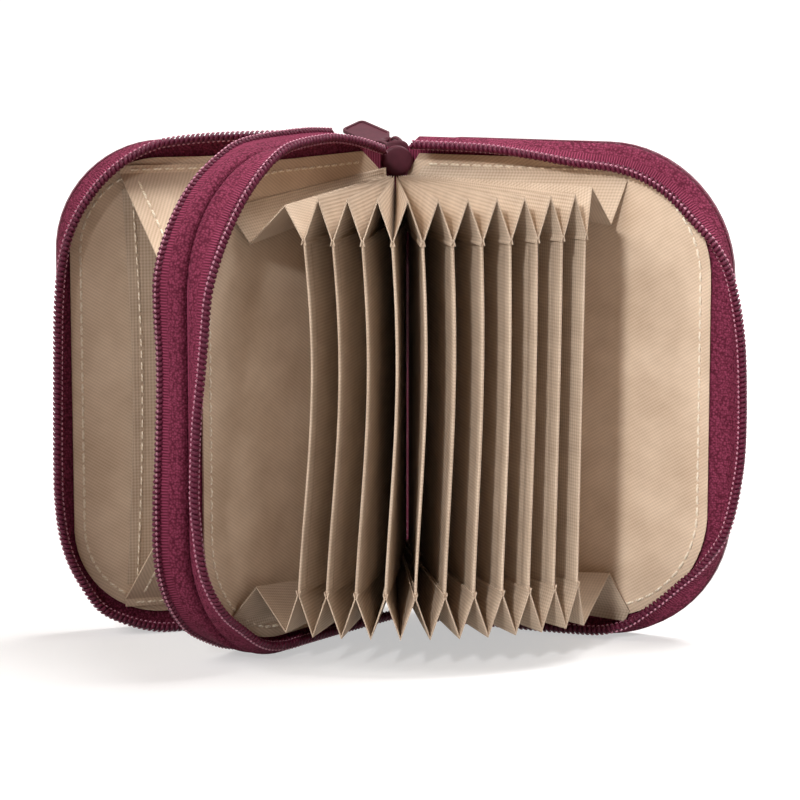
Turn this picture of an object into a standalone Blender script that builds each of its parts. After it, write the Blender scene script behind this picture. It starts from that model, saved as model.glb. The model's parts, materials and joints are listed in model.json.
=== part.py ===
"""Zip-around card wallet with two compartments, standing open on its edge.

The wallet is three stiff leaves on one spine: a left cover, a middle leaf and a right cover.
The right-hand compartment holds a fan of fabric dividers joined by folded pleats.
Each body has its own empty on its joint axis. In that frame +X runs from the spine to the
fore edge, +Z is up and +Y points from the left cover towards the right cover.
Lengths are metres and angles are degrees.
"""

import math

import bmesh
import bpy
from mathutils import Matrix, Vector

# Leaves
HEIGHT = 0.110
LEAF_WIDTH = 0.070
FORE_CORNER_RADIUS = 0.022
SPINE_CORNER_RADIUS = 0.006
MIDDLE_BOARD_SPINE_INSET = 0.0010
LEATHER_THICKNESS = 0.0012
BOARD_THICKNESS = 0.0006
LINING_THICKNESS = 0.0004
LAYER_GAP = 0.0003
LINING_INSET = 0.0038
LINING_SPINE_INSET = 0.0010
LINING_CUT_WIDTH = 0.0030
LINING_CUT_HEIGHT = 0.0046
BOARD_INSET = 0.0080
CORNER_STEPS = 6

# Zip tapes and their coils
TAPE_THICKNESS = 0.0004
TAPE_ROOT = 0.0050
TAPE_BEND_INSET = 0.0012
TAPE_BEND = 0.0008
TAPE_REACH = 0.0048
ZIP_A_START = 0.0060
ZIP_B_START = 0.0150
COIL_RADIUS = 0.0008
COIL_GAP = 0.0003
COIL_SIDES = 6
STATIONS_PER_STRAIGHT = 5

# Divider fan
DIVIDER_COUNT = 11
DIVIDER_PITCH = 0.0008
DIVIDER_THICKNESS = 0.0005
DIVIDER_REACH = 0.0560
DIVIDER_BACK = 0.0010
DIVIDER_MARGIN = 0.0174
FIRST_BOW = 0.0022
BOW_STEPS = 8
# The bow's shape: its peak lies a little above half way up, and it grows towards the front
BOW_SKEW = 1.3
BOW_COLUMN_SHARES = (0, 0.4, 0.75, 1)
END_POCKET_GAP = 0.0006
PLEAT_THICKNESS = 0.0003
PLEAT_DEPTH = 0.0090
PLEAT_STEPS = 6
PLEAT_BACK = 0.0050
PLEAT_SEAT_GAP = 0.0003
OUTER_PLEAT_REACH = 0.0540
OUTER_PLEAT_BACK = 0.0100
OUTER_PLEAT_BACK_SPREAD = 0.0012
OUTER_PLEAT_SPREAD = 0.0052
OUTER_PLEAT_RISE = 0.0072
OUTER_PLEAT_DROP = 0.0016
# How far an outer pleat's ridge stands from its divider, as a share of the way to the valley
OUTER_RIDGE_SHARE = 0.28

# Angles between neighbouring bodies as the wallet stands open
MIDDLE_LEAF_HEADING = -126.9
LEFT_COVER_OPEN = 36.0
FIRST_POCKET_OPEN = 18.0
POCKET_OPEN = 5.5
LAST_POCKET_OPEN = 32.0

# Left-hand compartment
LEFT_COMPARTMENT_GAP = 0.0050
SLIP_POCKET_THICKNESS = 0.0004
SLIP_POCKET_REACH = 0.0565
SLIP_POCKET_START = 0.0030
SLIP_POCKET_MARGIN = 0.0105
SIDE_GUSSET_REACH = 0.0560
SIDE_GUSSET_MARGIN = 0.0072
SIDE_GUSSET_DROP = 0.0225
SIDE_GUSSET_START = 0.0080
SIDE_GUSSET_START_DROP = 0.0030

# Spine
SPINE_MARGIN = 0.0080
SPINE_BULGE = 0.0070
SPINE_STEPS = 10
SPINE_CLEARANCE = 0.0012

# Sliders and pull tabs
# The divider that zip A's slider swings with
SLIDER_A_DIVIDER = 3
SLIDER_A_DROP = 0.0055
SLIDER_B_DROP = 0.0190
SLIDER_DISC_RADIUS = 0.0035
SLIDER_PLATE_THICKNESS = 0.0009
SLIDER_PLATE_GAP = 0.0020
SLIDER_BACK_WIDTH = 0.0054
SLIDER_BACK_RISE = 0.0044
SLIDER_BACK_DROP = 0.0034
SLIDER_POST_WIDTH = 0.0014
SLIDER_POST_HEIGHT = 0.0024
BAIL_INNER_RADIUS = 0.0016
BAIL_THICKNESS = 0.0007
BAIL_WIDTH = 0.0009
BAIL_SINK = 0.0004
BAIL_DROP = 0.0014
SLIDER_A_PLACE = (0.0022, 0.0001)
SLIDER_B_PLACE = (0.0006, 0.0006)
TAB_LENGTH = 0.0145
TAB_WIDTH = 0.0070
TAB_NECK_WIDTH = 0.0032
TAB_NECK_LENGTH = 0.0038
TAB_THICKNESS = 0.0009
TAB_BAR = 0.0005
TAB_SLOT_LENGTH = 0.0026
TAB_SLOT_WIDTH = 0.0017
TAB_CORNER = 0.0010
# Yaw and roll of each tab's bar, and the tab's lift about it
TAB_A_LIE = (44.0, 16.0, 16.0)
TAB_B_LIE = (0.0, 0.0, -90.0)
ROUND_STEPS = 24
CUT_OVERRUN = 0.0010

# Mesh clean-up
WELD_DISTANCE = 0.0000001
SMOOTH_ANGLE = 40.0

# Flare of each zip tape out of its leaf's plane, in degrees, against the share of the edge
# run from the spine over the top, down the fore edge and back along the bottom
RIGHT_FLARE_SHARES = [(0, 98), (0.08, 101), (0.12, 109), (0.17, 128), (0.22, 145), (0.28, 145),
                      (0.32, 122), (0.36, 84), (0.4, 66), (0.44, 53), (0.5, 46), (0.56, 45),
                      (0.6, 55), (0.64, 72), (0.68, 100), (0.72, 124), (0.76, 123), (0.8, 108),
                      (0.85, 99), (1, 100)]
MIDDLE_A_FLARE_SHARES = [(0, 92), (0.04, 78), (0.08, 67), (0.12, 69), (0.16, 76), (0.2, 90),
                         (0.24, 103), (0.28, 105), (0.32, 93), (0.36, 78), (0.4, 69), (0.48, 53),
                         (0.56, 46), (0.6, 53), (0.64, 62), (0.68, 76), (0.72, 98), (0.76, 101),
                         (0.8, 110), (0.84, 114), (1, 108)]
MIDDLE_B_FLARE_SHARES = [(0, 70), (0.06, 64), (0.12, 67), (0.16, 75), (0.2, 90), (0.24, 94),
                         (0.28, 95), (0.32, 90), (0.36, 78), (0.4, 82), (0.46, 90), (0.52, 85),
                         (0.56, 80), (0.6, 68), (0.64, 60), (0.68, 62), (0.72, 73), (0.755, 80),
                         (0.785, 93), (0.82, 97), (1, 98)]
LEFT_FLARE_SHARES = [(0, 75), (0.08, 75), (0.12, 77), (0.16, 89), (0.2, 108), (0.26, 121),
                     (0.32, 104), (0.36, 84), (0.4, 73), (0.48, 70), (0.6, 67), (0.64, 70),
                     (0.68, 83), (0.72, 89), (0.755, 85), (0.785, 93), (0.82, 97), (1, 98)]

# Heights of the fan
DIVIDER_BOTTOM = DIVIDER_MARGIN
DIVIDER_TOP = HEIGHT - DIVIDER_MARGIN

# Depths of the layers, measured from each leaf's inner face
CORE_DEPTH = LINING_THICKNESS + LAYER_GAP
LEATHER_DEPTH = CORE_DEPTH + BOARD_THICKNESS + LAYER_GAP
TAPE_ROOT_DEPTH = CORE_DEPTH + BOARD_THICKNESS / 2
MIDDLE_BOARD_HALF = BOARD_THICKNESS / 2
MIDDLE_TAPE_CENTRE = MIDDLE_BOARD_HALF + LAYER_GAP + TAPE_THICKNESS / 2
MIDDLE_LINING_START = MIDDLE_TAPE_CENTRE + TAPE_THICKNESS / 2 + LAYER_GAP
MIDDLE_HALF = MIDDLE_LINING_START + LINING_THICKNESS
LAST_BODY = DIVIDER_COUNT + 1


def clear_scene():
    """Removes every object that the new file starts with."""
    for obj in list(bpy.data.objects):
        bpy.data.objects.remove(obj, do_unlink=True)


def finish(name, colour, roughness, metallic=0.0):
    """Makes a plain Principled material from a linear colour."""
    material = bpy.data.materials.new(name)
    material.use_nodes = True
    shader = material.node_tree.nodes["Principled BSDF"]
    shader.inputs["Base Color"].default_value = (*colour, 1.0)
    shader.inputs["Roughness"].default_value = roughness
    shader.inputs["Metallic"].default_value = metallic
    return material


def turn(angle, axis="Z"):
    """Rotation matrix about one axis by an angle in degrees."""
    return Matrix.Rotation(math.radians(angle), 4, axis)


def joint_empty(name, parent, matrix):
    """Adds an empty that carries one body, placed on its joint's axis."""
    empty = bpy.data.objects.new(name, None)
    bpy.context.scene.collection.objects.link(empty)
    empty.parent = parent
    empty.matrix_local = matrix
    return empty


def add_object(name, mesh_builder, parent, material, smooth=False):
    """Turns a filled bmesh into a named object on its body's empty."""
    bmesh.ops.remove_doubles(mesh_builder, verts=mesh_builder.verts, dist=WELD_DISTANCE)
    bmesh.ops.recalc_face_normals(mesh_builder, faces=mesh_builder.faces)
    if mesh_builder.calc_volume(signed=True) < 0:
        bmesh.ops.reverse_faces(mesh_builder, faces=mesh_builder.faces)
    mesh = bpy.data.meshes.new(name)
    mesh_builder.to_mesh(mesh)
    mesh_builder.free()
    mesh.materials.append(material)
    if smooth:
        mesh.shade_smooth()
        mesh.set_sharp_from_angle(angle=math.radians(SMOOTH_ANGLE))
    obj = bpy.data.objects.new(name, mesh)
    bpy.context.scene.collection.objects.link(obj)
    obj.parent = parent
    return obj


def arc(centre, radius, start, end, steps):
    """Points of an arc in the leaf's plane, from one angle to another."""
    points = []
    for step in range(steps + 1):
        angle = math.radians(start + (end - start) * step / steps)
        points.append((centre[0] + radius * math.cos(angle), centre[1] + radius * math.sin(angle)))
    return points


def leaf_outline(inset, spine_inset, spine_radius):
    """Outline of one leaf layer: round fore corners, and small round corners at the spine."""
    radius = FORE_CORNER_RADIUS - inset
    low, high = inset, HEIGHT - inset
    fore = LEAF_WIDTH - inset
    back = spine_inset + spine_radius
    points = arc((back, low + spine_radius), spine_radius, 180, 270, CORNER_STEPS // 2)
    points += arc((fore - radius, low + radius), radius, -90, 0, CORNER_STEPS)
    points += arc((fore - radius, high - radius), radius, 0, 90, CORNER_STEPS)
    points += arc((back, high - spine_radius), spine_radius, 90, 180, CORNER_STEPS // 2)
    return points


def lining_outline():
    """Outline of a lining, whose spine corners are cut off at a slant."""
    radius = FORE_CORNER_RADIUS - LINING_INSET
    low, high = LINING_INSET, HEIGHT - LINING_INSET
    fore = LEAF_WIDTH - LINING_INSET
    back = LINING_SPINE_INSET
    points = [(back, low + LINING_CUT_HEIGHT), (back + LINING_CUT_WIDTH, low)]
    points += arc((fore - radius, low + radius), radius, -90, 0, CORNER_STEPS)
    points += arc((fore - radius, high - radius), radius, 0, 90, CORNER_STEPS)
    points += [(back + LINING_CUT_WIDTH, high), (back, high - LINING_CUT_HEIGHT)]
    return points


def plate(name, outline, near, far, parent, material):
    """A flat layer: an outline in the leaf's plane, as thick as from near to far."""
    builder = bmesh.new()
    rings = [[builder.verts.new((u, y, z)) for u, z in outline] for y in (near, far)]
    builder.faces.new(rings[0])
    builder.faces.new(rings[1])
    count = len(outline)
    for index in range(count):
        follower = (index + 1) % count
        builder.faces.new((rings[0][index], rings[0][follower], rings[1][follower], rings[1][index]))
    return add_object(name, builder, parent, material)


def loft(builder, rings):
    """Skins closed rings of points one after the other and caps both ends."""
    rows = [[builder.verts.new(point) for point in ring] for ring in rings]
    count = len(rows[0])
    for row, next_row in zip(rows, rows[1:]):
        for index in range(count):
            follower = (index + 1) % count
            builder.faces.new((row[index], row[follower], next_row[follower], next_row[index]))
    builder.faces.new(rows[0])
    builder.faces.new(rows[-1])


def loft_ribbon(builder, rings):
    """Skins rings of a folded strip in triangles, cut the same way on the strip's two sides.

    Each ring runs out along one side of the strip and back along the other.
    """
    rows = [[builder.verts.new(point) for point in ring] for ring in rings]
    count = len(rows[0])
    for row, next_row in zip(rows, rows[1:]):
        for index in range(count):
            follower = (index + 1) % count
            if index < count // 2:
                builder.faces.new((row[index], row[follower], next_row[follower]))
                builder.faces.new((row[index], next_row[follower], next_row[index]))
            else:
                builder.faces.new((row[index], row[follower], next_row[index]))
                builder.faces.new((row[follower], next_row[follower], next_row[index]))
    for row in (rows[0], rows[-1]):
        for index in range(count // 2 - 1):
            builder.faces.new((row[index], row[index + 1], row[-index - 2], row[-index - 1]))


def steps_between(start, end, steps):
    """Evenly spaced values from start to end, both included."""
    return [start + (end - start) * step / steps for step in range(steps + 1)]


def ribbon_ring(points, normal, thickness):
    """Closed ring round a folded line, half the thickness to either side across a common normal.

    A fold's inner side is mitred in full, and its outer side is cut short of a sharp spike.
    """
    lines = [Vector(point) for point in points]
    half = thickness / 2
    left, right = [], []
    for index, point in enumerate(lines):
        before = (point - lines[index - 1]).normalized() if index else None
        after = (lines[index + 1] - point).normalized() if index + 1 < len(lines) else None
        if before is None or after is None:
            across = normal.cross(before or after).normalized() * half
            left.append(point + across)
            right.append(point - across)
            continue
        mitre = (normal.cross(before) + normal.cross(after)).normalized()
        full = half / mitre.dot(normal.cross(after).normalized())
        short = min(full, thickness)
        turns_left = normal.dot(before.cross(after)) > 0
        left.append(point + mitre * (full if turns_left else short))
        right.append(point - mitre * (short if turns_left else full))
    return left + right[::-1]


def edge_stations(start):
    """Places along a leaf's edge, from the spine over the top and back: share, point, outward."""
    radius = FORE_CORNER_RADIUS
    run_end = LEAF_WIDTH - radius
    points = []
    for step in range(STATIONS_PER_STRAIGHT):
        along = start + (run_end - start) * step / STATIONS_PER_STRAIGHT
        points.append(((along, HEIGHT), (0.0, 1.0)))
    for place, bend in zip(arc((run_end, HEIGHT - radius), radius, 90, 0, CORNER_STEPS),
                           arc((0, 0), 1, 90, 0, CORNER_STEPS)):
        points.append((place, bend))
    middle = HEIGHT / 2
    points.append(((LEAF_WIDTH, (HEIGHT - radius + middle) / 2), (1.0, 0.0)))
    mirrored = [((u, HEIGHT - z), (a, -b)) for (u, z), (a, b) in reversed(points)]
    points = points + [((LEAF_WIDTH, middle), (1.0, 0.0))] + mirrored
    lengths = [0.0]
    for (first, _), (second, _) in zip(points, points[1:]):
        lengths.append(lengths[-1] + math.dist(first, second))
    return [(length / lengths[-1], place, bend) for length, (place, bend) in zip(lengths, points)]


def flare_at(table, share):
    """Flare of a tape at a share of its edge, eased between the table's entries."""
    for (start, low), (end, high) in zip(table, table[1:]):
        if share <= end:
            part = (share - start) / (end - start)
            ease = part * part * (3 - 2 * part)
            return low + (high - low) * ease
    return table[-1][1]


def tape_section(place, bend, flare, root, side):
    """The tape's folded line and its coil's centre at one place on the leaf's edge.

    root is the depth of the sewn part and side is +1 where the tape turns towards +Y.
    """
    outward = Vector((bend[0], 0, bend[1]))
    inner = Vector((0, side, 0))
    edge = Vector((place[0], root, place[1]))

    def towards(angle):
        return outward * math.cos(math.radians(angle)) + inner * math.sin(math.radians(angle))

    foot = edge - outward * TAPE_BEND_INSET
    rise = foot + towards(flare / 2) * TAPE_BEND
    tip = rise + towards(flare) * TAPE_REACH
    centre = tip + towards(flare) * (COIL_GAP + COIL_RADIUS)
    line = [edge - outward * TAPE_ROOT, foot, rise, tip]
    return line, centre, outward.cross(inner)


def zip_half(zip_name, side_name, table, start, root, side, parent, finishes):
    """One half of a zip: the tape sewn round three edges of a leaf, and its coil."""
    tape_rings = []
    centres = []
    for share, place, bend in edge_stations(start):
        line, centre, across = tape_section(place, bend, flare_at(table, share), root, side)
        tape_rings.append(ribbon_ring(line, across, TAPE_THICKNESS))
        centres.append(centre)
    builder = bmesh.new()
    loft_ribbon(builder, tape_rings)
    add_object(f"{zip_name}_tape_{side_name}", builder, parent, finishes["tape"])
    coil_rings = []
    for index, centre in enumerate(centres):
        ahead = centres[min(index + 1, len(centres) - 1)] - centres[max(index - 1, 0)]
        coil_rings.append(round_ring(centre, ahead.normalized(), COIL_RADIUS, COIL_SIDES))
    builder = bmesh.new()
    loft(builder, coil_rings)
    add_object(f"{zip_name}_coil_{side_name}", builder, parent, finishes["coil"], smooth=True)


def round_ring(centre, ahead, radius, sides):
    """Ring of points round a centre, square to the way ahead."""
    across = ahead.cross(Vector((0, 1, 0))).normalized()
    over = ahead.cross(across).normalized()
    ring = []
    for step in range(sides):
        angle = math.radians(360 * step / sides)
        ring.append(centre + across * radius * math.cos(angle) + over * radius * math.sin(angle))
    return ring


def cover(side_name, side, parent, finishes):
    """A cover: leather outside, a stiff board, and the lining. side is +1 for the right cover."""
    def layer(name, outline, depth, thickness, key):
        plate(f"{side_name}_cover_{name}", outline, side * depth, side * (depth + thickness), parent,
              finishes[key])

    layer("lining", lining_outline(), 0, LINING_THICKNESS, "lining")
    layer("board", leaf_outline(BOARD_INSET, LINING_SPINE_INSET, 0), CORE_DEPTH, BOARD_THICKNESS, "board")
    leather = leaf_outline(0, 0, SPINE_CORNER_RADIUS)
    layer("leather", leather, LEATHER_DEPTH, LEATHER_THICKNESS, "leather")


def middle_leaf(parent, finishes):
    """The middle leaf: one board between two linings."""
    board = leaf_outline(0, MIDDLE_BOARD_SPINE_INSET, SPINE_CORNER_RADIUS)
    plate("middle_leaf_board", board, -MIDDLE_BOARD_HALF, MIDDLE_BOARD_HALF, parent, finishes["edge"])
    for side_name, side in (("left", -1), ("right", 1)):
        plate(f"middle_leaf_lining_{side_name}", lining_outline(), side * MIDDLE_LINING_START,
              side * MIDDLE_HALF, parent, finishes["lining"])


def divider(index, parent, finishes):
    """One divider of the fan, bowed a little towards the right cover along its front edge."""
    bow = FIRST_BOW * (DIVIDER_COUNT - index) / (DIVIDER_COUNT - 1)
    builder = bmesh.new()
    sheets = []
    for face in (-0.5, 0.5):
        sheet = []
        for row in range(BOW_STEPS + 1):
            height = row / BOW_STEPS
            swell = math.sin(math.pi * height ** BOW_SKEW)
            line = []
            for column in BOW_COLUMN_SHARES:
                u = DIVIDER_BACK + (DIVIDER_REACH - DIVIDER_BACK) * column
                y = face * DIVIDER_THICKNESS + bow * swell * column ** 2
                z = DIVIDER_BOTTOM + (DIVIDER_TOP - DIVIDER_BOTTOM) * height
                line.append(builder.verts.new((u, y, z)))
            sheet.append(line)
        sheets.append(sheet)
    last = len(BOW_COLUMN_SHARES) - 1
    for row in range(BOW_STEPS):
        for column in range(last):
            for sheet in sheets:
                builder.faces.new((sheet[row][column], sheet[row][column + 1],
                                   sheet[row + 1][column + 1], sheet[row + 1][column]))
        for column in (0, last):
            builder.faces.new((sheets[0][row][column], sheets[0][row + 1][column],
                               sheets[1][row + 1][column], sheets[1][row][column]))
    for row in (0, BOW_STEPS):
        for column in range(last):
            builder.faces.new((sheets[0][row][column], sheets[0][row][column + 1],
                               sheets[1][row][column + 1], sheets[1][row][column]))
    add_object(f"divider_{index:02d}", builder, parent, finishes["divider"])


def pleat_pair(index, rings, parent, finishes):
    """Adds the fold at the top of the dividers and its mirror image at their bottom."""
    height_sum = DIVIDER_TOP + DIVIDER_BOTTOM
    lower = [[Vector((p.x, p.y, height_sum - p.z)) for p in ring[::-1]] for ring in rings]
    for end, shape in (("upper", rings), ("lower", lower)):
        builder = bmesh.new()
        loft_ribbon(builder, shape)
        add_object(f"{end}_pleat_{index:02d}", builder, parent, finishes["pleat"])


def inner_pleat(index, step_back, parent, finishes):
    """The roof-shaped fold that closes the pocket between two dividers at top and bottom."""
    seat = DIVIDER_TOP + PLEAT_SEAT_GAP

    rings = []
    for reach in steps_between(PLEAT_BACK, DIVIDER_REACH, PLEAT_STEPS):
        near = step_back @ Vector((reach, PLEAT_SEAT_GAP, seat))
        far = Vector((reach, -PLEAT_SEAT_GAP, seat))
        half = (far - near).length / 2
        ridge = (near + far) / 2 + Vector((0, 0, math.sqrt(PLEAT_DEPTH ** 2 - half ** 2)))
        across = (far - near).normalized().cross(Vector((0, 0, 1)))
        rings.append(ribbon_ring([near, ridge, far], across, PLEAT_THICKNESS))
    pleat_pair(index, rings, parent, finishes)


def outer_pleat(index, cover_frame, divider_frame, cover_side, parent, finishes):
    """The wide fold between an end divider and the lining it is sewn to.

    The frames carry points of the leaf's and the divider's own frames into the parent's frame.
    cover_side is +1 where the compartment lies on the leaf's +Y side.
    """
    seat = DIVIDER_TOP + PLEAT_SEAT_GAP
    face = MIDDLE_HALF if cover_side > 0 else 0
    hem = face + PLEAT_SEAT_GAP + PLEAT_THICKNESS / 2

    rings = []
    reaches = steps_between(OUTER_PLEAT_BACK, OUTER_PLEAT_REACH, PLEAT_STEPS)
    spreads = steps_between(OUTER_PLEAT_BACK_SPREAD, OUTER_PLEAT_SPREAD, PLEAT_STEPS)
    for reach, spread in zip(reaches, spreads):
        sewn = cover_frame @ Vector((reach, cover_side * hem, seat + OUTER_PLEAT_RISE))
        valley = cover_frame @ Vector((reach, cover_side * (hem + spread), seat - OUTER_PLEAT_DROP))
        foot = divider_frame @ Vector((reach, -cover_side * PLEAT_SEAT_GAP, seat))
        side = (foot - valley) - Vector((0, 0, (foot - valley).z))
        ridge = foot - side * OUTER_RIDGE_SHARE + Vector((0, 0, PLEAT_DEPTH))
        across = side.normalized().cross(Vector((0, 0, 1)))
        rings.append(ribbon_ring([sewn, valley, ridge, foot], across, PLEAT_THICKNESS))
    pleat_pair(index, rings, parent, finishes)


def slip_pocket(parent, finishes):
    """The flat pocket on the left cover's lining, open along its front edge."""
    low, high = SLIP_POCKET_MARGIN, HEIGHT - SLIP_POCKET_MARGIN
    outline = [(SLIP_POCKET_START, low), (SLIP_POCKET_REACH, low), (SLIP_POCKET_REACH, high),
               (SLIP_POCKET_START, high)]
    plate("slip_pocket", outline, LAYER_GAP, LAYER_GAP + SLIP_POCKET_THICKNESS, parent, finishes["pleat"])


def side_gusset(name, upper, leaf_frame, parent, finishes):
    """The inward fold that closes one end of the left-hand compartment, as a V."""
    hem = LAYER_GAP + PLEAT_THICKNESS / 2
    rings = []
    reaches = steps_between(SIDE_GUSSET_START, SIDE_GUSSET_REACH, PLEAT_STEPS)
    drops = steps_between(SIDE_GUSSET_START_DROP, SIDE_GUSSET_DROP, PLEAT_STEPS)
    for reach, drop in zip(reaches, drops):
        top = HEIGHT - SIDE_GUSSET_MARGIN
        near = Vector((reach, hem, top))
        far = leaf_frame @ Vector((reach, -MIDDLE_HALF - hem, top))
        fold = (near + far) / 2 - Vector((0, 0, drop))
        across = (far - near).normalized().cross(Vector((0, 0, 1)))
        ring = ribbon_ring([near, fold, far], across, PLEAT_THICKNESS)
        rings.append(ring if upper else [Vector((p.x, p.y, HEIGHT - p.z)) for p in ring[::-1]])
    builder = bmesh.new()
    loft_ribbon(builder, rings)
    add_object(name, builder, parent, finishes["pleat"])


def spine_leather(left_edge, right_edge, parent, finishes):
    """The leather over the spine, bulging back between the two covers' edges."""
    width = right_edge - left_edge
    back = Vector((-width.y, width.x, 0)).normalized()
    line = []
    for step in range(SPINE_STEPS + 1):
        share = step / SPINE_STEPS
        line.append(left_edge + width * share + back * SPINE_BULGE * math.sin(math.pi * share))
    ring = ribbon_ring(line, Vector((0, 0, 1)), LEATHER_THICKNESS)
    low, high = SPINE_MARGIN, HEIGHT - SPINE_MARGIN
    builder = bmesh.new()
    loft_ribbon(builder, [[Vector((p.x, p.y, z)) for p in ring] for z in (low, high)])
    add_object("spine_leather", builder, parent, finishes["leather"], smooth=True)


def helper(name, builder, parent):
    """A guide shape that only serves a Boolean and is left out of the part."""
    mesh = bpy.data.meshes.new(name)
    bmesh.ops.recalc_face_normals(builder, faces=builder.faces)
    builder.to_mesh(mesh)
    builder.free()
    obj = bpy.data.objects.new(name, mesh)
    bpy.context.scene.collection.objects.link(obj)
    obj.parent = parent
    obj.hide_render = True
    obj.display_type = "WIRE"
    return obj


def cylinder(radius, depth, matrix):
    """A closed round body as a bmesh."""
    builder = bmesh.new()
    bmesh.ops.create_cone(builder, cap_ends=True, segments=ROUND_STEPS, radius1=radius, radius2=radius,
                          depth=depth, matrix=matrix)
    return builder


def block(size, centre):
    """A closed box as a bmesh."""
    builder = bmesh.new()
    matrix = Matrix.Translation(centre) @ Matrix.Diagonal((*size, 1))
    bmesh.ops.create_cube(builder, size=1, matrix=matrix)
    return builder


def boolean(obj, other, operation):
    """Adds an exact Boolean with another object."""
    modifier = obj.modifiers.new(f"{operation.lower()}_{other.name}", "BOOLEAN")
    modifier.operation = operation
    modifier.solver = "EXACT"
    modifier.object = other


def slider(zip_name, lie, parent, finishes):
    """A slider: a round inner plate, a post, a back plate and the bail that holds the tab."""
    face = turn(90, "X")
    plate_centre = SLIDER_PLATE_THICKNESS / 2
    builder = cylinder(SLIDER_DISC_RADIUS, SLIDER_PLATE_THICKNESS,
                       Matrix.Translation((0, plate_centre, 0)) @ face)
    body = add_object(f"{zip_name}_slider", builder, parent, finishes["slider"], smooth=True)
    span = SLIDER_PLATE_THICKNESS * 2 + SLIDER_PLATE_GAP
    post = block((SLIDER_POST_WIDTH, span - SLIDER_PLATE_THICKNESS, SLIDER_POST_HEIGHT),
                 (0, span / 2, SLIDER_POST_HEIGHT / 2))
    boolean(body, helper(f"{zip_name}_slider_post", post, parent), "UNION")
    rise = SLIDER_BACK_RISE + SLIDER_BACK_DROP
    outline = rounded_box(SLIDER_BACK_WIDTH, rise, SLIDER_BACK_WIDTH / 3)
    middle = (SLIDER_BACK_RISE - SLIDER_BACK_DROP) / 2
    back = bmesh.new()
    loft(back, [[Vector((x, y, z + middle)) for x, z in outline]
                for y in (span - SLIDER_PLATE_THICKNESS, span)])
    boolean(body, helper(f"{zip_name}_slider_back", back, parent), "UNION")
    boolean(body, helper(f"{zip_name}_slider_bail", bail_ring(lie), parent), "UNION")
    return body


def bail_centre():
    """Centre of the bail's ring, which is also the point the tab turns about."""
    outer = BAIL_INNER_RADIUS + BAIL_THICKNESS
    span = SLIDER_PLATE_THICKNESS * 2 + SLIDER_PLATE_GAP
    return Vector((0, span + outer - BAIL_SINK, SLIDER_BACK_RISE - BAIL_DROP))


def bar_frame(lie):
    """The turn of a tab's bar."""
    yaw, roll, _ = lie
    return turn(yaw) @ turn(-roll, "Y")


def bail_ring(lie):
    """A ring round the tab's bar, square to that bar."""
    builder = bmesh.new()
    frame = Matrix.Translation(bail_centre()) @ bar_frame(lie)
    rows = []
    half = BAIL_WIDTH / 2
    section = [(BAIL_INNER_RADIUS, -half), (BAIL_INNER_RADIUS + BAIL_THICKNESS, -half),
               (BAIL_INNER_RADIUS + BAIL_THICKNESS, half), (BAIL_INNER_RADIUS, half)]
    for step in range(ROUND_STEPS):
        angle = math.radians(360 * step / ROUND_STEPS)
        across, over = math.cos(angle), math.sin(angle)
        rows.append([builder.verts.new(frame @ Vector((x, radius * across, radius * over)))
                     for radius, x in section])
    for index, row in enumerate(rows):
        next_row = rows[(index + 1) % ROUND_STEPS]
        for corner in range(4):
            follower = (corner + 1) % 4
            builder.faces.new((row[corner], row[follower], next_row[follower], next_row[corner]))
    return builder


def rounded_box(width, height, radius):
    """Outline of a box with round corners about the origin."""
    steps = CORNER_STEPS // 2
    x, y = width / 2 - radius, height / 2 - radius
    points = arc((x, y), radius, 0, 90, steps) + arc((-x, y), radius, 90, 180, steps)
    return points + arc((-x, -y), radius, 180, 270, steps) + arc((x, -y), radius, 270, 360, steps)


def pull_tab(zip_name, parent, finishes):
    """The pull tab: a flat tongue with a slot, whose end bar lies inside the bail."""
    half, neck = TAB_WIDTH / 2, TAB_NECK_WIDTH / 2
    shoulder = TAB_NECK_LENGTH + half - neck
    outline = [(neck, -TAB_BAR), (neck, TAB_NECK_LENGTH), (half, shoulder)]
    outline += arc((half - TAB_CORNER, TAB_LENGTH - TAB_CORNER), TAB_CORNER, 0, 90, CORNER_STEPS // 2)
    outline += arc((-half + TAB_CORNER, TAB_LENGTH - TAB_CORNER), TAB_CORNER, 90, 180, CORNER_STEPS // 2)
    outline += [(-half, shoulder), (-neck, TAB_NECK_LENGTH), (-neck, -TAB_BAR)]
    builder = bmesh.new()
    loft(builder, [[Vector((x, y, z)) for x, y in outline] for z in (-TAB_THICKNESS / 2, TAB_THICKNESS / 2)])
    tab = add_object(f"{zip_name}_pull_tab", builder, parent, finishes["slider"])
    slot = block((TAB_SLOT_WIDTH, TAB_SLOT_LENGTH, TAB_THICKNESS + CUT_OVERRUN),
                 (0, TAB_BAR + TAB_SLOT_LENGTH / 2, 0))
    boolean(tab, helper(f"{zip_name}_pull_tab_slot", slot, parent), "DIFFERENCE")


def build_finishes():
    """The wallet's materials, from the colours in the photograph."""
    return {
        "leather": finish("leather", (0.130, 0.020, 0.050), 0.50),
        "tape": finish("zip_tape", (0.180, 0.022, 0.062), 0.85),
        "coil": finish("zip_coil", (0.120, 0.014, 0.040), 0.35),
        "lining": finish("lining_twill", (0.580, 0.440, 0.310), 0.90),
        "divider": finish("divider_fabric", (0.540, 0.430, 0.310), 0.85),
        "pleat": finish("pleat_fabric", (0.600, 0.470, 0.340), 0.85),
        "board": finish("board", (0.400, 0.370, 0.330), 0.95),
        "edge": finish("leaf_edge", (0.060, 0.010, 0.022), 0.80),
        "slider": finish("painted_slider", (0.070, 0.022, 0.034), 0.40, 0.30),
    }


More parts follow.
